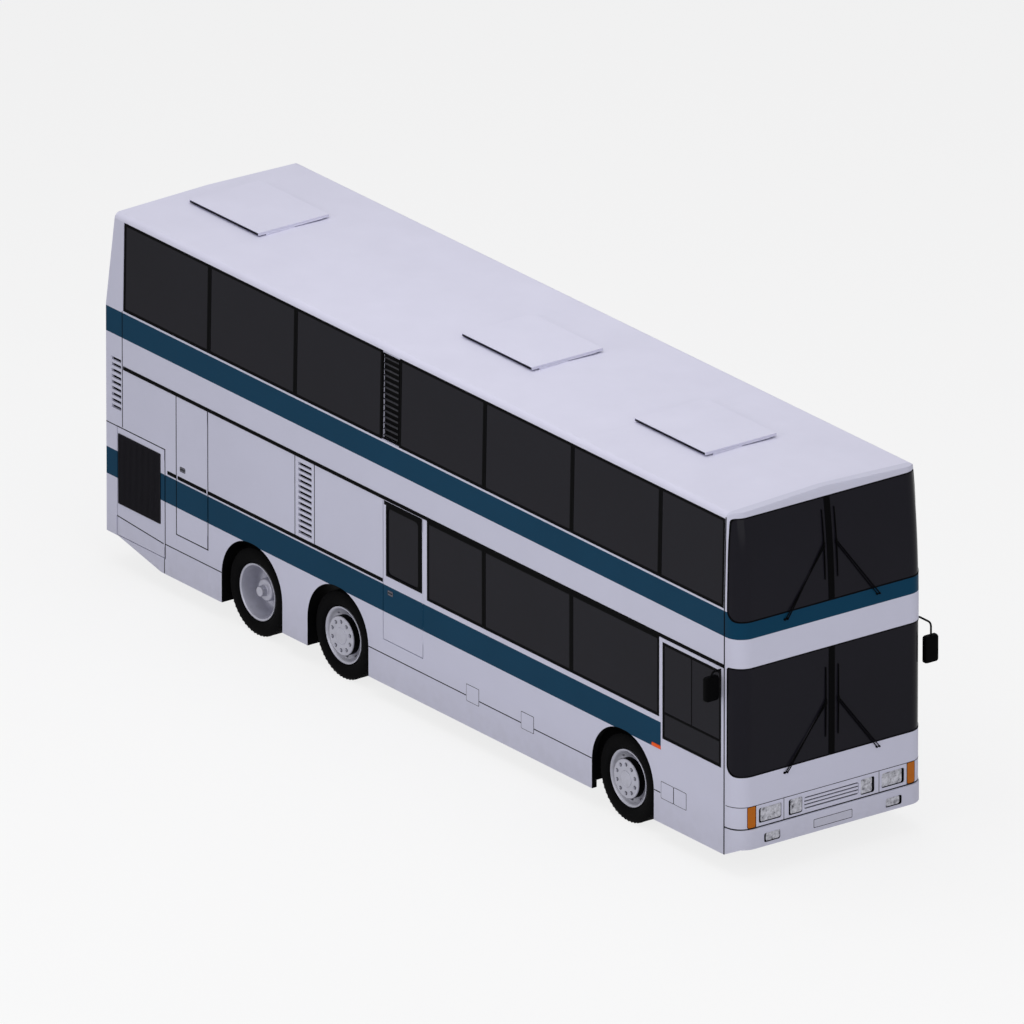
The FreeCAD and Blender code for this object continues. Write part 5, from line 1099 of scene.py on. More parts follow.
def addRim(axle, side, centre, values=wheelValues):
    word = sideWords[side]
    body = "wheel_%s_%s" % (axle, word)
    twin = axle == "rear"
    steps = values["steps"]
    bm, middle, dark = bmesh.new(), bmesh.new(), bmesh.new()
    latheProfile(bm, "twin" if twin else "single", side, centre, steps)
    if twin:
        latheProfile(bm, "inner", side, centre, steps, -values["twinStep"])
    rim = makeObject("rimDisc_%s_%s" % (axle, word), bm)
    face = values["twinFace"] if twin else values["face"]
    latheProfile(middle, "hub" if twin else "drum", side, centre, steps)
    if not twin:
        hole, (half, halfUp), ring = bmesh.new(), values["handHalf"], values["handRing"]
        addPrism(hole, roundedLoop((-half, ring - halfUp), (half, ring + halfUp), values["handRound"]),
                 [side * across for across in values["handDeep"]], 1)
        holes = repeatShape("handHoles", hole, "ring", finishes["wheel_metal"], Count=values["handHoles"],
                            Centre=tuple(centre))
        carve(rim, holes, "DIFFERENCE")
        # a black band round the drum's side: painted shade for the dark crescent beside the raised drum
        latheProfile(dark, "shadeBand", side, centre, steps)
    nut, washer, ring = bmesh.new(), bmesh.new(), values["nutRing"]
    for across, radius in values["nutSteps"]:
        addPrism(nut, [(along, ring + up) for along, up in circle(radius, 6)],
                 (side * (face - values["nutFoot"]), side * (face + across)), 1)
    addPrism(washer, [(along, ring + up) for along, up in circle(values["washer"], 16)],
             [side * (face + level) for level in values["washerUp"]], 1)
    nuts = repeatShape("wheelNuts", nut, "ring", finishes["wheel_metal"], Count=values["nuts"], Centre=tuple(centre))
    washers = repeatShape("wheelWashers_%s_%s" % (axle, word), washer, "ring", finishes["black_trim"],
                          Count=values["nuts"], Centre=tuple(centre))
    joinInto(washers, [makeObject("drumShadeBand", dark)])
    joinInto(rim, [nuts, makeObject("rimMiddle", middle)])
    finishPiece(rim, body, "wheel_metal", replaced=("rim_%s_%s" % (axle, word),))
    finishPiece(washers, body, "tyre", finishes["black_trim"])


def addWheels():
    for axle in ("front", "middle", "rear"):
        for side in (right, left):
            offsets = (0, wheelValues["twinStep"]) if axle == "rear" else (0,)
            centre = addTyre(axle, side, offsets)
            addRim(axle, side, centre)


# mirrors on bent arms

mirrorValues = {
    "arm": 0.011, "bend": 0.05, "round": 0.03, "bodyDeep": 0.06, "bodyWide": 0.18, "root": 0.02, "out": 0.12,
    "shape": ((0.0, 0.0), (0.03, 0.0), (0.05, 0.006)), "end": 0.02, "pane": 0.008, "paneDeep": (-0.0005, 0.002),
    right: {"back": 0.06, "arm": (2.3, 2.1), "body": (1.97, 2.25)},
    left: {"back": 0.08, "arm": (2.27, 2.0), "body": (1.82, 2.13)},
}


def addMirrors(values=mirrorValues):
    low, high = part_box("mirrors")
    bm, glass = bmesh.new(), bmesh.new()
    half, wide = values["bodyDeep"] / 2, values["bodyWide"]
    root, out = halfWide - values["root"], halfWide + values["out"]
    for side in (right, left):
        own = values[side]
        back = seamX - own["back"]
        ahead = back if side == right else high.x - half
        armTop, armFoot = own["arm"]
        line = [(back, side * root, armTop), (back, side * out, armTop), (ahead, side * out, armFoot)]
        if side == left:
            line.insert(2, (ahead, out, armTop))
        addTube(bm, roundLine(line, values["bend"]), values["arm"])
        near, far = (low.y, low.y + wide) if side == right else (high.y - wide, high.y)
        addHousing(bm, glass, (ahead - half, near, own["body"][0]), (ahead + half, far, own["body"][1]), values)
    addPiece("mirrorHousings", bm, "black_trim", replaced=("mirrors",))
    addPiece("mirrorGlass", glass, "dark_glass", finishes["mirror"])


def addHousing(bm, glass, low, high, values):
    loop = roundedLoop(low[1:], high[1:], values["round"])
    levels = [(low[0] + deep, inset) for deep, inset in values["shape"]] + [(high[0], values["end"])]
    addRings(bm, [loopAt(shrinkLoop(loop, inset), along, 0) for along, inset in levels], True)
    addPrism(glass, shrinkLoop(loop, values["pane"]), [low[0] + deep for deep in values["paneDeep"]], 0)


# wipers: twin arms from the pivots below each screen to the middle of an upright blade

wiperValues = {
    "lower": {"pivot": (0.61, 1.07), "foot": 1.35, "top": 2.14},
    "upper": {"pivot": (0.61, 2.81), "foot": 3.13, "top": 3.9},
    "across": 0.083, "arm": 0.006, "gap": 0.017, "boss": 0.011, "steps": 6, "rubber": 0.004, "rubberOut": 0.003,
    "spine": 0.0045, "spineOut": 0.009, "bow": 0.006, "clip": (0.012, 0.03), "clipOut": (0.006, 0.02),
    "armOut": 0.014, "armFoot": 0.016, "armLift": 0.004, "armBends": (0.12, 0.9),
    "bossShape": ((-0.004, 1.15), (0.002, 1.15), (0.008, 1.0), (0.018, 0.9), (0.022, 0.6)),
}


def addWipers(values=wiperValues):
    bm = bmesh.new()
    wide, high = values["clip"]
    near, far = values["clipOut"]
    for side in (right, left):
        for key in ("lower", "upper"):
            own = values[key]
            across = side * values["across"]
            middle = (own["foot"] + own["top"]) / 2
            rubber, spine = [], []
            for step in range(values["steps"] + 1):
                up = own["foot"] + (own["top"] - own["foot"]) * step / values["steps"]
                rubber.append(onNose(across, up, values["rubberOut"]))
                spine.append(onNose(across, up, values["spineOut"]
                                    + values["bow"] * math.sin(math.pi * step / values["steps"])))
            addTube(bm, rubber, values["rubber"], 6)
            addTube(bm, spine, values["spine"], 8)
            foot, top = onNose(across - wide, middle - high, near), onNose(across + wide, middle + high, far)
            addBar(bm, foot, top, 0.002, 1)
            for part in (-1, 1):
                shift = part * values["gap"]
                pivot = onNose(side * own["pivot"][0] + shift, own["pivot"][1], 0.0)
                addKnob(bm, pivot, values["bossShape"], values["boss"], 16)
                start = pivot + Vector((values["armFoot"], 0, 0))
                end = onNose(across, middle + shift, values["armOut"])
                first, last = [start.lerp(end, share) for share in values["armBends"]]
                addTube(bm, [start, first + Vector((values["armLift"], 0, 0)), last, end], values["arm"], 8)
    addPiece("wiperSet", bm, "black_trim", replaced=("wipers",))


# the front below the screens: grille bars, panel seams, fog lamps and a blank plate

frontValues = {
    "bars": 3, "barHigh": 0.027, "barPitch": 0.04, "firstBar": 0.616, "barGap": 0.004, "barDeep": (0.016, 0.001),
    "backDeep": (0.03, 0.015), "plate": ((-0.256, 0.356), (0.256, 0.455)), "plateRound": 0.012, "seamUp": 0.785,
    "seamsAcross": (0.63, 1.0), "seam": 0.007, "bumperSeam": 0.53, "bumperLine": 0.012, "bumperCorner": 0.215,
    "bumperThick": 0.066, "slope": (0.2, 0.31), "spare": 0.05, "underBack": 0.021, "underDrop": 0.01,
    "topEdge": ((0.016, 0.0), (0.01, 0.001), (0.005, 0.005), (0.001, 0.01), (0.0, 0.016)), "border": 0.006,
    "fogDeep": 0.04, "seamDepths": (-0.004, 0.001, 0.0004), "borderDepths": (-0.002, 0.001, 0.0004),
    "plateDepths": (-0.001, 0.0006, 0.0002),
}


def seamAround(bm, up, wide, proud, start=0):
    plan = [nosePlan(up, -proud), nosePlan(up, 0.004)]
    outer, inner = [points[start:len(points) - start] for points in plan]
    rings = []
    for (x, y), (innerX, innerY) in zip(outer, inner):
        rings.append([Vector((x, y, up - wide / 2)), Vector((x, y, up + wide / 2)),
                      Vector((innerX, innerY, up + wide / 2)), Vector((innerX, innerY, up - wide / 2))])
    addRings(bm, rings, True)


# plan of the bumper, from the right end round to the left one
def bumperPlan(foot, inset, values=frontValues):
    return endPlan(foot, bumperFace - inset, halfWide - inset, values["bumperCorner"], 12)


def addBumper(values=frontValues, lamps=lampValues):
    low, high, spare = bumperLow.z, bumperHigh.z, values["spare"]
    bm, tool, bottom, holes = bmesh.new(), bmesh.new(), bmesh.new(), bmesh.new()
    levels = [(low, 0.0)] + [(high - drop, inset) for drop, inset in values["topEdge"]]
    addRings(bm, [loopAt(bumperPlan(seamX, inset), up, 2) for up, inset in levels], True)
    addPrism(tool, bumperPlan(seamX - spare, values["bumperThick"]), (low - spare, high + spare), 2)
    (slopeLong, slopeUp), back, ahead = values["slope"], seamX - values["underBack"], bumperHigh.x + spare
    under = [(back, low - spare), (back, low - values["underDrop"]), (seamX + slopeLong, slopeUp), (ahead, slopeUp),
             (ahead, low - spare)]
    addPrism(bottom, under, (-halfWide - spare, halfWide + spare), 1)
    for side in (right, left):
        addPrism(holes, lampLoop(lamps, "fog", side), (bumperHigh.x - values["fogDeep"], ahead), 0)
    bumper = makeObject("bumperSkin", bm)
    for name, shape in (("bumperInside", tool), ("bumperUnder", bottom), ("fogHoles", holes)):
        carve(bumper, makeObject(name, shape), "DIFFERENCE")
    finishPiece(bumper, "coach_body", "body_paint", replaced=("front_bumper",))


def addFrontDetails(values=frontValues, lamps=lampValues):
    bars, back, seams, plate = bmesh.new(), bmesh.new(), bmesh.new(), bmesh.new()
    (lowAcross, lowUp), (highAcross, highUp) = lamps["grille"]
    (deep, face), half, gap = values["barDeep"], values["barHigh"] / 2, values["barGap"]
    addBar(bars, (noseHigh.x - deep, lowAcross + gap, values["firstBar"] - half),
           (noseHigh.x - face, highAcross - gap, values["firstBar"] + half), 0.003)
    grille = repeatShape("grilleBars", bars, "row", finishes["body_paint"], Count=values["bars"],
                         Step=(0, 0, values["barPitch"]))
    finishPiece(grille, "coach_body", "body_paint", replaced=("front_grille",))
    deep, face = values["backDeep"]
    addBar(back, (noseHigh.x - deep, lowAcross, lowUp), (noseHigh.x - face, highAcross, highUp), 0.001, 1)
    addPiece("grilleBack", back, "black_trim")
    seam, line = values["seam"], values["bumperLine"]
    seamAround(seams, values["seamUp"], seam, 0.001, 1)
    seamAround(seams, values["bumperSeam"] + line / 2, line, 0.002)
    for side in (right, left):
        for across in values["seamsAcross"]:
            low = side * across - seam / 2
            loop = roundedLoop((low, values["bumperSeam"]), (low + seam, values["seamUp"]), 0.001, 2)
            addPlate(seams, loop, onNose, *values["seamDepths"])
    loop = roundedLoop(*values["plate"], values["plateRound"])
    addFrame(seams, loop, shrinkLoop(loop, values["border"]), onBumper, *values["borderDepths"])
    addPiece("frontSeams", seams, "black_trim")
    addPlate(plate, shrinkLoop(loop, values["border"] / 2), onBumper, *values["plateDepths"])
    addPiece("blankPlate", plate, "body_paint", finishes["plate"])


# flaps, handles and markers on the sides

smallValues = {
    "flaps": ((4.309, 4.535), (3.338, 3.564)), "foreFlaps": ((0.655, 0.877), (0.878, 1.1)), "flapUp": (0.5, 0.696),
    "flapRound": 0.012, "line": 0.005, "marker": ((1.106, 1.26), (1.052, 1.092)), "markerRound": 0.008,
    "luggageHandle": (9.604, 1.515), "emergencyHandle": (5.883, 1.288), "entranceHandle": (0.98, 1.25),
    "cup": (0.045, 0.026), "cupRound": 0.012, "rim": 0.003, "grip": (0.036, 0.008, 0.01), "gripRound": 0.007,
    "lidDepths": (-0.002, 0.003), "lineDepths": (-0.002, 0.0015, 0.0004), "markerDepths": (-0.002, 0.008, 0.003),
    "cupDepths": (-0.001, 0.0012, 0.0004), "rimDepths": (-0.001, 0.003), "gripDepths": (0.001, 0.011, 0.003),
}


def addFlaps(side, values=smallValues):
    bm, lines = bmesh.new(), bmesh.new()
    place = onSide(side)
    low, high = values["flapUp"]
    spans = values["flaps"] + (values["foreFlaps"] if side == right else ())
    for near, far in spans:
        loop = roundedLoop((fromSeam(far), low), (fromSeam(near), high), values["flapRound"])
        addPlate(bm, shrinkLoop(loop, values["line"]), place, *values["lidDepths"])
        addFrame(lines, loop, shrinkLoop(loop, values["line"] * 1.2), place, *values["lineDepths"])
    return bm, lines


def addSmallParts(values=smallValues):
    for side in (right, left):
        word = sideWords[side]
        flaps, lines = addFlaps(side)
        addPiece("flapLids_" + word, flaps, "body_paint", replaced=("service_flaps",) if side == right else ())
        addPiece("flapSeams_" + word, lines, "black_trim")
        marker = bmesh.new()
        (near, far), (low, high) = values["marker"]
        loop = roundedLoop((fromSeam(far), low), (fromSeam(near), high), values["markerRound"])
        addPlate(marker, loop, onSide(side), *values["markerDepths"])
        addPiece("sideMarker_" + word, marker, "red_lamp", finishes["marker"])
        addHandle("luggage_door_%s_body" % word, side, *values["luggageHandle"])
    addHandle("emergency_exit", right, *values["emergencyHandle"])
    addHandle("entrance", left, *values["entranceHandle"])


def addHandle(body, side, distance, up, values=smallValues):
    bm, dark = bmesh.new(), bmesh.new()
    place, along = onSide(side), fromSeam(distance)
    half, high = values["cup"]
    cup = roundedLoop((along - half, up - high), (along + half, up + high), values["cupRound"])
    addPlate(dark, cup, place, *values["cupDepths"])
    addFrame(bm, shrinkLoop(cup, -values["rim"]), cup, place, *values["rimDepths"])
    half, low, high = values["grip"]
    grip = roundedLoop((along - half, up - low), (along + half, up + high), values["gripRound"])
    addPlate(bm, grip, place, *values["gripDepths"])
    name = body.replace("_body", "")
    addPiece("handleCup_" + name, dark, "black_trim", finishes["handle_grey"], body=body)
    addPiece("handle_" + name, bm, "black_trim", finishes["slat_metal"], body=body)


# ribbed black grille on the radiator doors

radiatorValues = {
    "along": (fromSeam(10.765), fromSeam(10.005)), "up": (0.765, 1.575), "ribs": 34, "rib": 0.009, "border": 0.012,
    "ribEnd": 0.006, "ribDepths": (-0.001, 0.006), "margin": 0.01, "borderDepths": (-0.001, 0.007),
    "backDepths": (-0.001, 0.001, 0.0004),
}


def addRadiatorGrille(side, values=radiatorValues):
    rib, frame = bmesh.new(), bmesh.new()
    low, high = zip(values["along"], values["up"])
    step = (high[0] - low[0] - 2 * values["margin"]) / values["ribs"]
    start = low[0] + values["margin"] + step / 2
    near, far = sorted(side * (halfWide + depth) for depth in values["ribDepths"])
    addBar(rib, (start - values["rib"] / 2, near, low[1] + values["ribEnd"]),
           (start + values["rib"] / 2, far, high[1] - values["ribEnd"]), 0.002, 1)
    ribs = repeatShape("radiatorRibs", rib, "row", finishes["black_trim"], Count=values["ribs"], Step=(step, 0, 0))
    loop = roundedLoop(low, high, values["border"])
    addFrame(frame, loop, shrinkLoop(loop, values["border"]), onSide(side), *values["borderDepths"])
    addPlate(frame, shrinkLoop(loop, values["border"] / 2), onSide(side), *values["backDepths"])
    joinInto(ribs, [makeObject("radiatorFrame", frame)])
    word = sideWords[side]
    ribs.name = "radiatorGrille_" + word
    finishPiece(ribs, "radiator_door_%s_body" % word, "black_trim", finishes["rib_plastic"])


# door windows get rubber frames like the other panes

doorValues = {
    "frame": 0.03, "round": 0.05, "outerRound": 0.01, "reach": 0.012, "edge": 0.016, "lap": 0.004, "topGap": 0.006,
    "lapRound": 0.003, "frameDepths": (-0.003, 0.003), "lapDepths": (-0.001, 0.0025, 0.0005),
}


def addDoorFrames(values=doorValues):
    reach, edge, lap = values["reach"], values["edge"], values["lap"]
    for key, glass, side, body in (("emergency", "emergency_door_glass", right, "emergency_exit"),
                                   ("entrance", "passenger_door_glass", left, "entrance")):
        paneLow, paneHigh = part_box(glass)
        low, high = (paneLow.x - reach, paneLow.z - reach), (paneHigh.x + reach, paneHigh.z + reach)
        bm = bmesh.new()
        addFrame(bm, roundedLoop(low, high, values["outerRound"]),
                 insetLoop(low, high, values["frame"], values["round"]), onSide(side), *values["frameDepths"])
        if key == "emergency":
            doorLow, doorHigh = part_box("emergency_door")
            rear, fore = doorLow.x + edge, doorHigh.x - edge
            for near, far in (((rear, high[1] - lap), (fore, doorHigh.z - values["topGap"])),
                              ((high[0] - lap, low[1]), (fore, high[1]))):
                addPlate(bm, roundedLoop(near, far, values["lapRound"]), onSide(side), *values["lapDepths"])
        addPiece("doorFrame_" + key, bm, "black_trim", body=body)


# rear: window rubber, lamps, a slatted vent and a blank plate on the engine cover, and the bumper

rearValues = {
    "window": ((-1.02, 3.13), (1.02, 3.87)), "windowOut": (-0.02, 0.07), "windowIn": (0.015, 0.04), "lean": 0.142,
    "slats": 9, "slatDeep": (0.006, 0.004), "vent": ((-0.55, 0.95), (0.55, 1.35)),
    "tail": ((0.966, 1.096), (1.114, 1.634)), "tailRound": 0.014,
    "lenses": (("amber", 0.0, 0.28), ("red", 0.3, 0.64), ("red", 0.66, 1.0)), "lensEdge": 0.006, "lensRound": 0.01,
    "plate": ((-0.256, 1.46), (0.256, 1.57)), "plateRound": 0.012, "corner": 0.12,
    "filler": ((-1.18, 0.61), (1.18, 0.66)), "fillerIn": (0.008, 0.02), "spare": 0.1, "clear": 0.0005,
    "leanTop": 0.04, "border": 0.006, "rubberDepths": (-0.004, 0.004), "tailIn": (-0.008, 0.005, 0.003),
    "tailDepths": (-0.003, 0.006),
    "tailBack": (-0.01, 0.001), "lensDepths": (-0.002, 0.004, 0.003), "borderDepths": (-0.002, 0.0045, 0.0005),
    "plateIn": 0.004, "plateDepths": (-0.001, 0.003, 0.0005),
}


def onRear(across, up, depth, values=rearValues):
    lean = values["lean"] * max(0, up - seatLine) / (cantLine + values["leanTop"] - seatLine)
    return Vector((rearX + lean - depth, across, up))


def addTailLamps(dark, values=rearValues):
    lenses = {"amber": bmesh.new(), "red": bmesh.new()}
    (near, lowUp), (far, highUp) = values["tail"]
    rim, inside, back = values["tailIn"]
    for side in (right, left):
        outer = sideLoop(roundedLoop(*values["tail"], values["tailRound"]), side)
        addFrame(dark, shrinkLoop(outer, rim), shrinkLoop(outer, inside), onRear, *values["tailDepths"])
        addPlate(dark, shrinkLoop(outer, back), onRear, *values["tailBack"])
        for key, start, end in values["lenses"]:
            low, high = [highUp - share * (highUp - lowUp) for share in (end, start)]
            loop = insetLoop((near, low), (far, high), values["lensEdge"], values["lensRound"])
            addPlate(lenses[key], sideLoop(loop, side), onRear, *values["lensDepths"])
    addPiece("tailLensesRed", lenses["red"], "red_lamp", replaced=("tail_lamps",))
    addPiece("tailLensesAmber", lenses["amber"], "amber_lamp")


def addRearBumper(values=rearValues):
    low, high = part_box("rear_bumper")
    bm, tool = bmesh.new(), bmesh.new()
    edges, spare, wide = frontValues["topEdge"], values["spare"], halfWide + values["clear"]
    levels = [(low.z + drop, inset) for drop, inset in edges[::-1]]
    levels += [(high.z - drop, inset) for drop, inset in edges]
    addRings(bm, [loopAt(endPlan(high.x, low.x + inset, high.y - inset, values["corner"] - inset, 10), up, 2)
                  for up, inset in levels], True)
    addBar(tool, (rearX, -wide, low.z - spare), (high.x + spare, wide, high.z + spare), 0.001, 1)
    bumper = carve(makeObject("rearBumperSkin", bm), makeObject("rearBumperInside", tool), "DIFFERENCE")
    finishPiece(bumper, "coach_body", "body_paint", replaced=("rear_bumper",))


def addRear(values=rearValues):
    bm, slat, cover, plate = bmesh.new(), bmesh.new(), bmesh.new(), bmesh.new()
    (outset, outerRound), (inset, innerRound) = values["windowOut"], values["windowIn"]
    addFrame(bm, insetLoop(*values["window"], outset, outerRound), insetLoop(*values["window"], inset, innerRound),
             onRear, *values["rubberDepths"])
    addTailLamps(bm)
    (low, high), (outside, inside) = values["filler"], values["fillerIn"]
    addBar(bm, (rearX + outside, *low), (rearX + inside, *high), 0.001, 1)
    addPiece("rearRubber", bm, "black_trim")
    addRearBumper()
    low, high = values["vent"]
    step = (high[1] - low[1]) / values["slats"]
    out, back = values["slatDeep"]
    addBar(slat, (rearX - out, low[0], low[1] + step * 0.25), (rearX + back, high[0], low[1] + step * 0.75), 0.002, 1)
    slats = repeatShape("coverSlats", slat, "row", finishes["black_trim"], Count=values["slats"], Step=(0, 0, step))
    loop = roundedLoop(*values["plate"], values["plateRound"])
    addFrame(cover, loop, shrinkLoop(loop, values["border"]), onRear, *values["borderDepths"])
    finishPiece(joinInto(slats, [makeObject("plateBorder", cover)]), "engine_cover_body", "black_trim")
    addPlate(plate, shrinkLoop(loop, values["plateIn"]), onRear, *values["plateDepths"])
    addPiece("rearBlankPlate", plate, "body_paint", finishes["plate"], body="engine_cover_body")


# grey skirts round the lids of the roof hatches; their grey is painted shade on the hatches' upright sides

hatchValues = {
    "names": ("front", "middle", "rear"), "high": 0.0262, "thick": 0.002, "round": 0.012, "lift": 0.0008,
    "margin": 0.002, "frontMargin": 0.012, "edge": 0.003, "foot": 0.001, "topInset": 0.004,
}


def addHatches(values=hatchValues):
    margin, thick = values["margin"], values["thick"]
    for word in values["names"]:
        low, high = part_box("roof_hatch_" + word)
        top, foot = low.z + values["high"], low.z - values["foot"]
        edge = top - values["edge"]
        loop = roundedLoop((low.x + margin, low.y + margin), (high.x - values["frontMargin"], high.y - margin),
                           values["round"])
        outer = shrinkLoop(loop, -thick)
        bm, lid = bmesh.new(), bmesh.new()
        addRings(bm, [loopAt(ring, up, 2) for ring, up in ((outer, foot), (outer, edge), (loop, edge), (loop, foot))])
        addPiece("hatchShadeSkirt_" + word, bm, "roof_paint", finishes["hatch_side_shade"], body="roof_hatch_%s_body" % word)
        levels = ((edge, -thick), (top, 0.0), (top + values["lift"], values["topInset"]))
        addRings(lid, [loopAt(shrinkLoop(loop, inset), up, 2) for up, inset in levels], True)
        addPiece("hatchLid_" + word, lid, "roof_paint", body="roof_hatch_%s_body" % word)


# cabin: cushions blown up by cloth simulation, set out in rows on plain frames

cabinValues = {
    "pitch": 0.8, "acrosses": (0.4675, 0.9225), "wide": 0.44, "lowerFloor": 0.735, "upperFloor": 2.46,
    "cushion": {"low": (0.118, 0.306), "high": (0.43, 0.414), "cells": (10, 12, 4)},
    "back": {"low": (0.012, 0.43), "high": (0.098, 1.072), "cells": (4, 12, 16), "lean": (0.42, 1.08, 0.12)},
    "rows": {"lower": ((2.98, 4, left), (4.9, 1, right)),
             "upper": ((1.134, 12, left), (1.134, 2, right), (4.334, 8, right))},
    "driver": (0.98, -0.7), "pressure": 4.0, "quality": 6, "frames": 20, "cap": 0.014, "start": 0.008, "pull": 0.05,
    "fill": 0.7,
    "stand": (((0.13, -0.2, 0.001), (0.39, 0.2, 0.02)), ((0.21, -0.05, 0.018), (0.31, 0.05, 0.29)),
              ((0.06, -0.2, 0.288), (0.42, 0.2, 0.3))),
}


# a closed box of small faces, a little smaller than the room for the pad
def padShape(own, values=cabinValues):
    bm = bmesh.new()
    bmesh.ops.create_cube(bm, size=1)
    cells = own["cells"]
    for axis in range(3):
        edges = [edge for edge in bm.edges if abs((edge.verts[0].co - edge.verts[1].co).normalized()[axis]) > 0.99]
        bmesh.ops.subdivide_edges(bm, edges=edges, cuts=cells[axis] - 1, use_grid_fill=True)
    low = (own["low"][0], -values["wide"] / 2, own["low"][1])
    high = (own["high"][0], values["wide"] / 2, own["high"][1])
    flat = cells.index(min(cells))
    middle = (low[flat] + high[flat]) / 2
    for vert in bm.verts:
        spot = []
        for axis in range(3):
            room = high[axis] - low[axis] - 2 * values["start"]
            spot.append((low[axis] + high[axis]) / 2 + vert.co[axis] * room)
        pull = 1 - values["pull"] * (2 * abs(vert.co[1])) ** 4
        spot[flat] = middle + (spot[flat] - middle) * pull
        if "lean" in own:
            foot, top, lean = own["lean"]
            spot[0] -= lean * (spot[2] - foot) / (top - foot)
        vert.co = spot
    bmesh.ops.recalc_face_normals(bm, faces=bm.faces[:])
    return bm


# blows the pad up, and caps how far each of its points may go
def blowUp(name, bm, values=cabinValues):
    pad = makeObject(name, bm)
    start = [vert.co.copy() for vert in pad.data.vertices]
    scene = bpy.context.scene
    cloth = pad.modifiers.new("cloth", "CLOTH")
    cloth.settings.use_pressure = True
    cloth.settings.uniform_pressure_force = values["pressure"]
    cloth.settings.effector_weights.gravity = 0
    cloth.settings.quality = values["quality"]
    cloth.point_cache.frame_start, cloth.point_cache.frame_end = 1, values["frames"]
    for count in range(1, values["frames"] + 1):
        scene.frame_set(count)
    settle(pad)
    scene.frame_set(1)
    for vert, before in zip(pad.data.vertices, start):
        move = vert.co - before
        if move.length > values["cap"]:
            vert.co = before + move.normalized() * values["cap"]
    return pad


def addSeats(deck, floor, values=cabinValues):
    groups = []
    for distance, count, side in values["rows"][deck]:
        for across in values["acrosses"]:
            groups.append((Vector((fromSeam(distance), side * across, floor)), count))
    if deck == "lower":
        distance, across = values["driver"]
        groups.append((Vector((fromSeam(distance), across, floor)), 1))
    for key in ("cushion", "back"):
        rows = []
        for spot, count in groups:
            bm = bmesh.new()
            bm.from_mesh(pads[key].data)
            bm.transform(Matrix.Translation(spot))
            rows.append(repeatShape("row", bm, "row", finishes["seat_cloth"], Count=count,
                                    Step=(-values["pitch"], 0, 0)))
        made = joinInto(rows[0], rows[1:])
        made.name = "seat%ss_%s" % (key.capitalize(), deck)
        finishPiece(made, "coach_body", "seat_cloth", angle=60, replaced=("seats_" + deck,))
    frames = []
    for spot, count in groups:
        bm = bmesh.new()
        for low, high in values["stand"]:
            addBar(bm, spot + Vector(low), spot + Vector(high), 0.003, 1)
        frames.append(repeatShape("frame", bm, "row", finishes["dash_plastic"], Count=count,
                                  Step=(-values["pitch"], 0, 0)))
    made = joinInto(frames[0], frames[1:])
    made.name = "seatFrames_" + deck
    finishPiece(made, "coach_body", "chassis_paint", finishes["dash_plastic"])


dashValues = {
    "wheel": (fromSeam(0.33), -0.7, 1.17), "radius": 0.228, "grip": 0.014, "tilt": 18, "top": 1.128, "back": 0.248,
    "foot": 0.12, "ahead": 0.018, "half": 1.185, "floor": 0.736, "edge": 0.02, "spokes": (0, 120, 240),
    "spoke": 0.012, "dish": (0.02, 0.012), "hub": ((0, 0, 0.004), (0, 0, -0.03), (0, 0, -0.2)), "hubRound": 0.045,
    "column": (-0.06, 0, 0.18), "columnEnd": (fromSeam(0.2), -0.7, 0.9), "columnRound": 0.03,
}


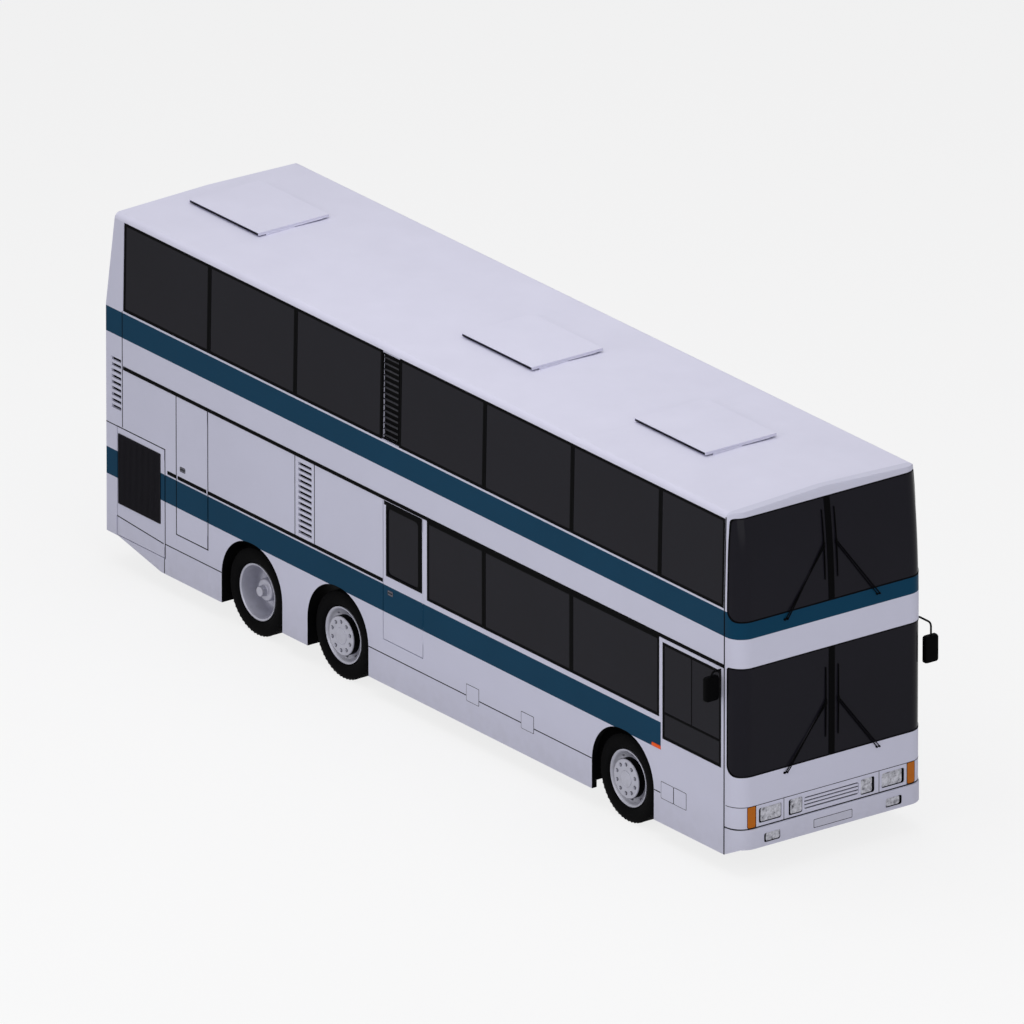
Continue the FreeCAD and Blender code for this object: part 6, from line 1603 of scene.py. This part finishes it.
def addDashboard(values=dashValues):
    bm = bmesh.new()
    top, foot = values["top"], values["foot"]
    profile = [(fromSeam(foot), values["floor"]), (seamX + values["ahead"], values["floor"]),
               (seamX + values["ahead"], top - foot / 2), (seamX - foot / 2, top), (fromSeam(values["back"]), top),
               (fromSeam(values["back"]), top - foot)]
    addPrism(bm, profile, (-values["half"], values["half"]), 1)
    bmesh.ops.bevel(bm, geom=bm.edges[:], offset=values["edge"], segments=4, affect="EDGES", profile=0.5)
    wheel, radius, (drop, dip) = bmesh.new(), values["radius"], values["dish"]
    turn = Matrix.Translation(values["wheel"]) @ Matrix.Rotation(-math.radians(values["tilt"]), 4, "Y")
    addRings(wheel, [[Vector(((radius + reach) * along, (radius + reach) * across, up))
                      for reach, up in circle(values["grip"], 10)] for along, across in circle(1, 48)])
    for angle in values["spokes"]:
        end = Vector((radius * math.cos(math.radians(angle)), radius * math.sin(math.radians(angle)), 0))
        addTube(wheel, [(0, 0, -drop), end * 0.5 - Vector((0, 0, dip)), end], values["spoke"])
    addTube(wheel, values["hub"], values["hubRound"], 20)
    joinShape(bm, wheel, turn)
    addTube(bm, [Vector(values["wheel"]) - Vector(values["column"]), values["columnEnd"]], values["columnRound"], 16)
    addPiece("dashboardAndWheel", bm, "dash_plastic", replaced=("dashboard",))


# step well behind the passenger door

stepValues = {
    "ends": (0.128, 1.062), "treads": ((1.2, 0.328), (0.91, 0.53), (0.632, 0.734)), "thick": 0.012, "out": 1.18,
}


def addStepWell(values=stepValues):
    bm = bmesh.new()
    thick, (far, near) = values["thick"], [fromSeam(back) for back in values["ends"]]
    for (out, up), (inner, upNext) in zip(values["treads"], values["treads"][1:]):
        for end in ((far, out, up), (far, inner, upNext)):
            addBar(bm, (near, inner - thick, up - thick), end, 0.002, 1)
    (first, foot), (last, top) = values["treads"][0], values["treads"][-1]
    for along in (near, far):
        addBar(bm, (along - thick / 2, last, foot - thick), (along + thick / 2, values["out"], top), 0.002, 1)
    addPiece("entranceSteps", bm, "dash_plastic")


pads = {key: blowUp("pad_" + key, padShape(cabinValues[key])) for key in ("cushion", "back")}
addSeats("lower", cabinValues["lowerFloor"])
addSeats("upper", cabinValues["upperFloor"])
for pad in pads.values():
    bpy.data.objects.remove(pad)
addDashboard()
addStepWell()
print("cabin made")
addHatches()
addNose()
addLamps()
addBumper()
addFrontDetails()
print("nose made")
for side in (right, left):
    addWindowFrames(side)
    addTrim(side)
    addArches(side)
    addLouvres(side)
    addRadiatorGrille(side)
addDoorFrames()
addSmallParts()
addRear()
print("sides made")
addWheels()
print("wheels made")
addMirrors()
addWipers()
print("mirrors and wipers made")
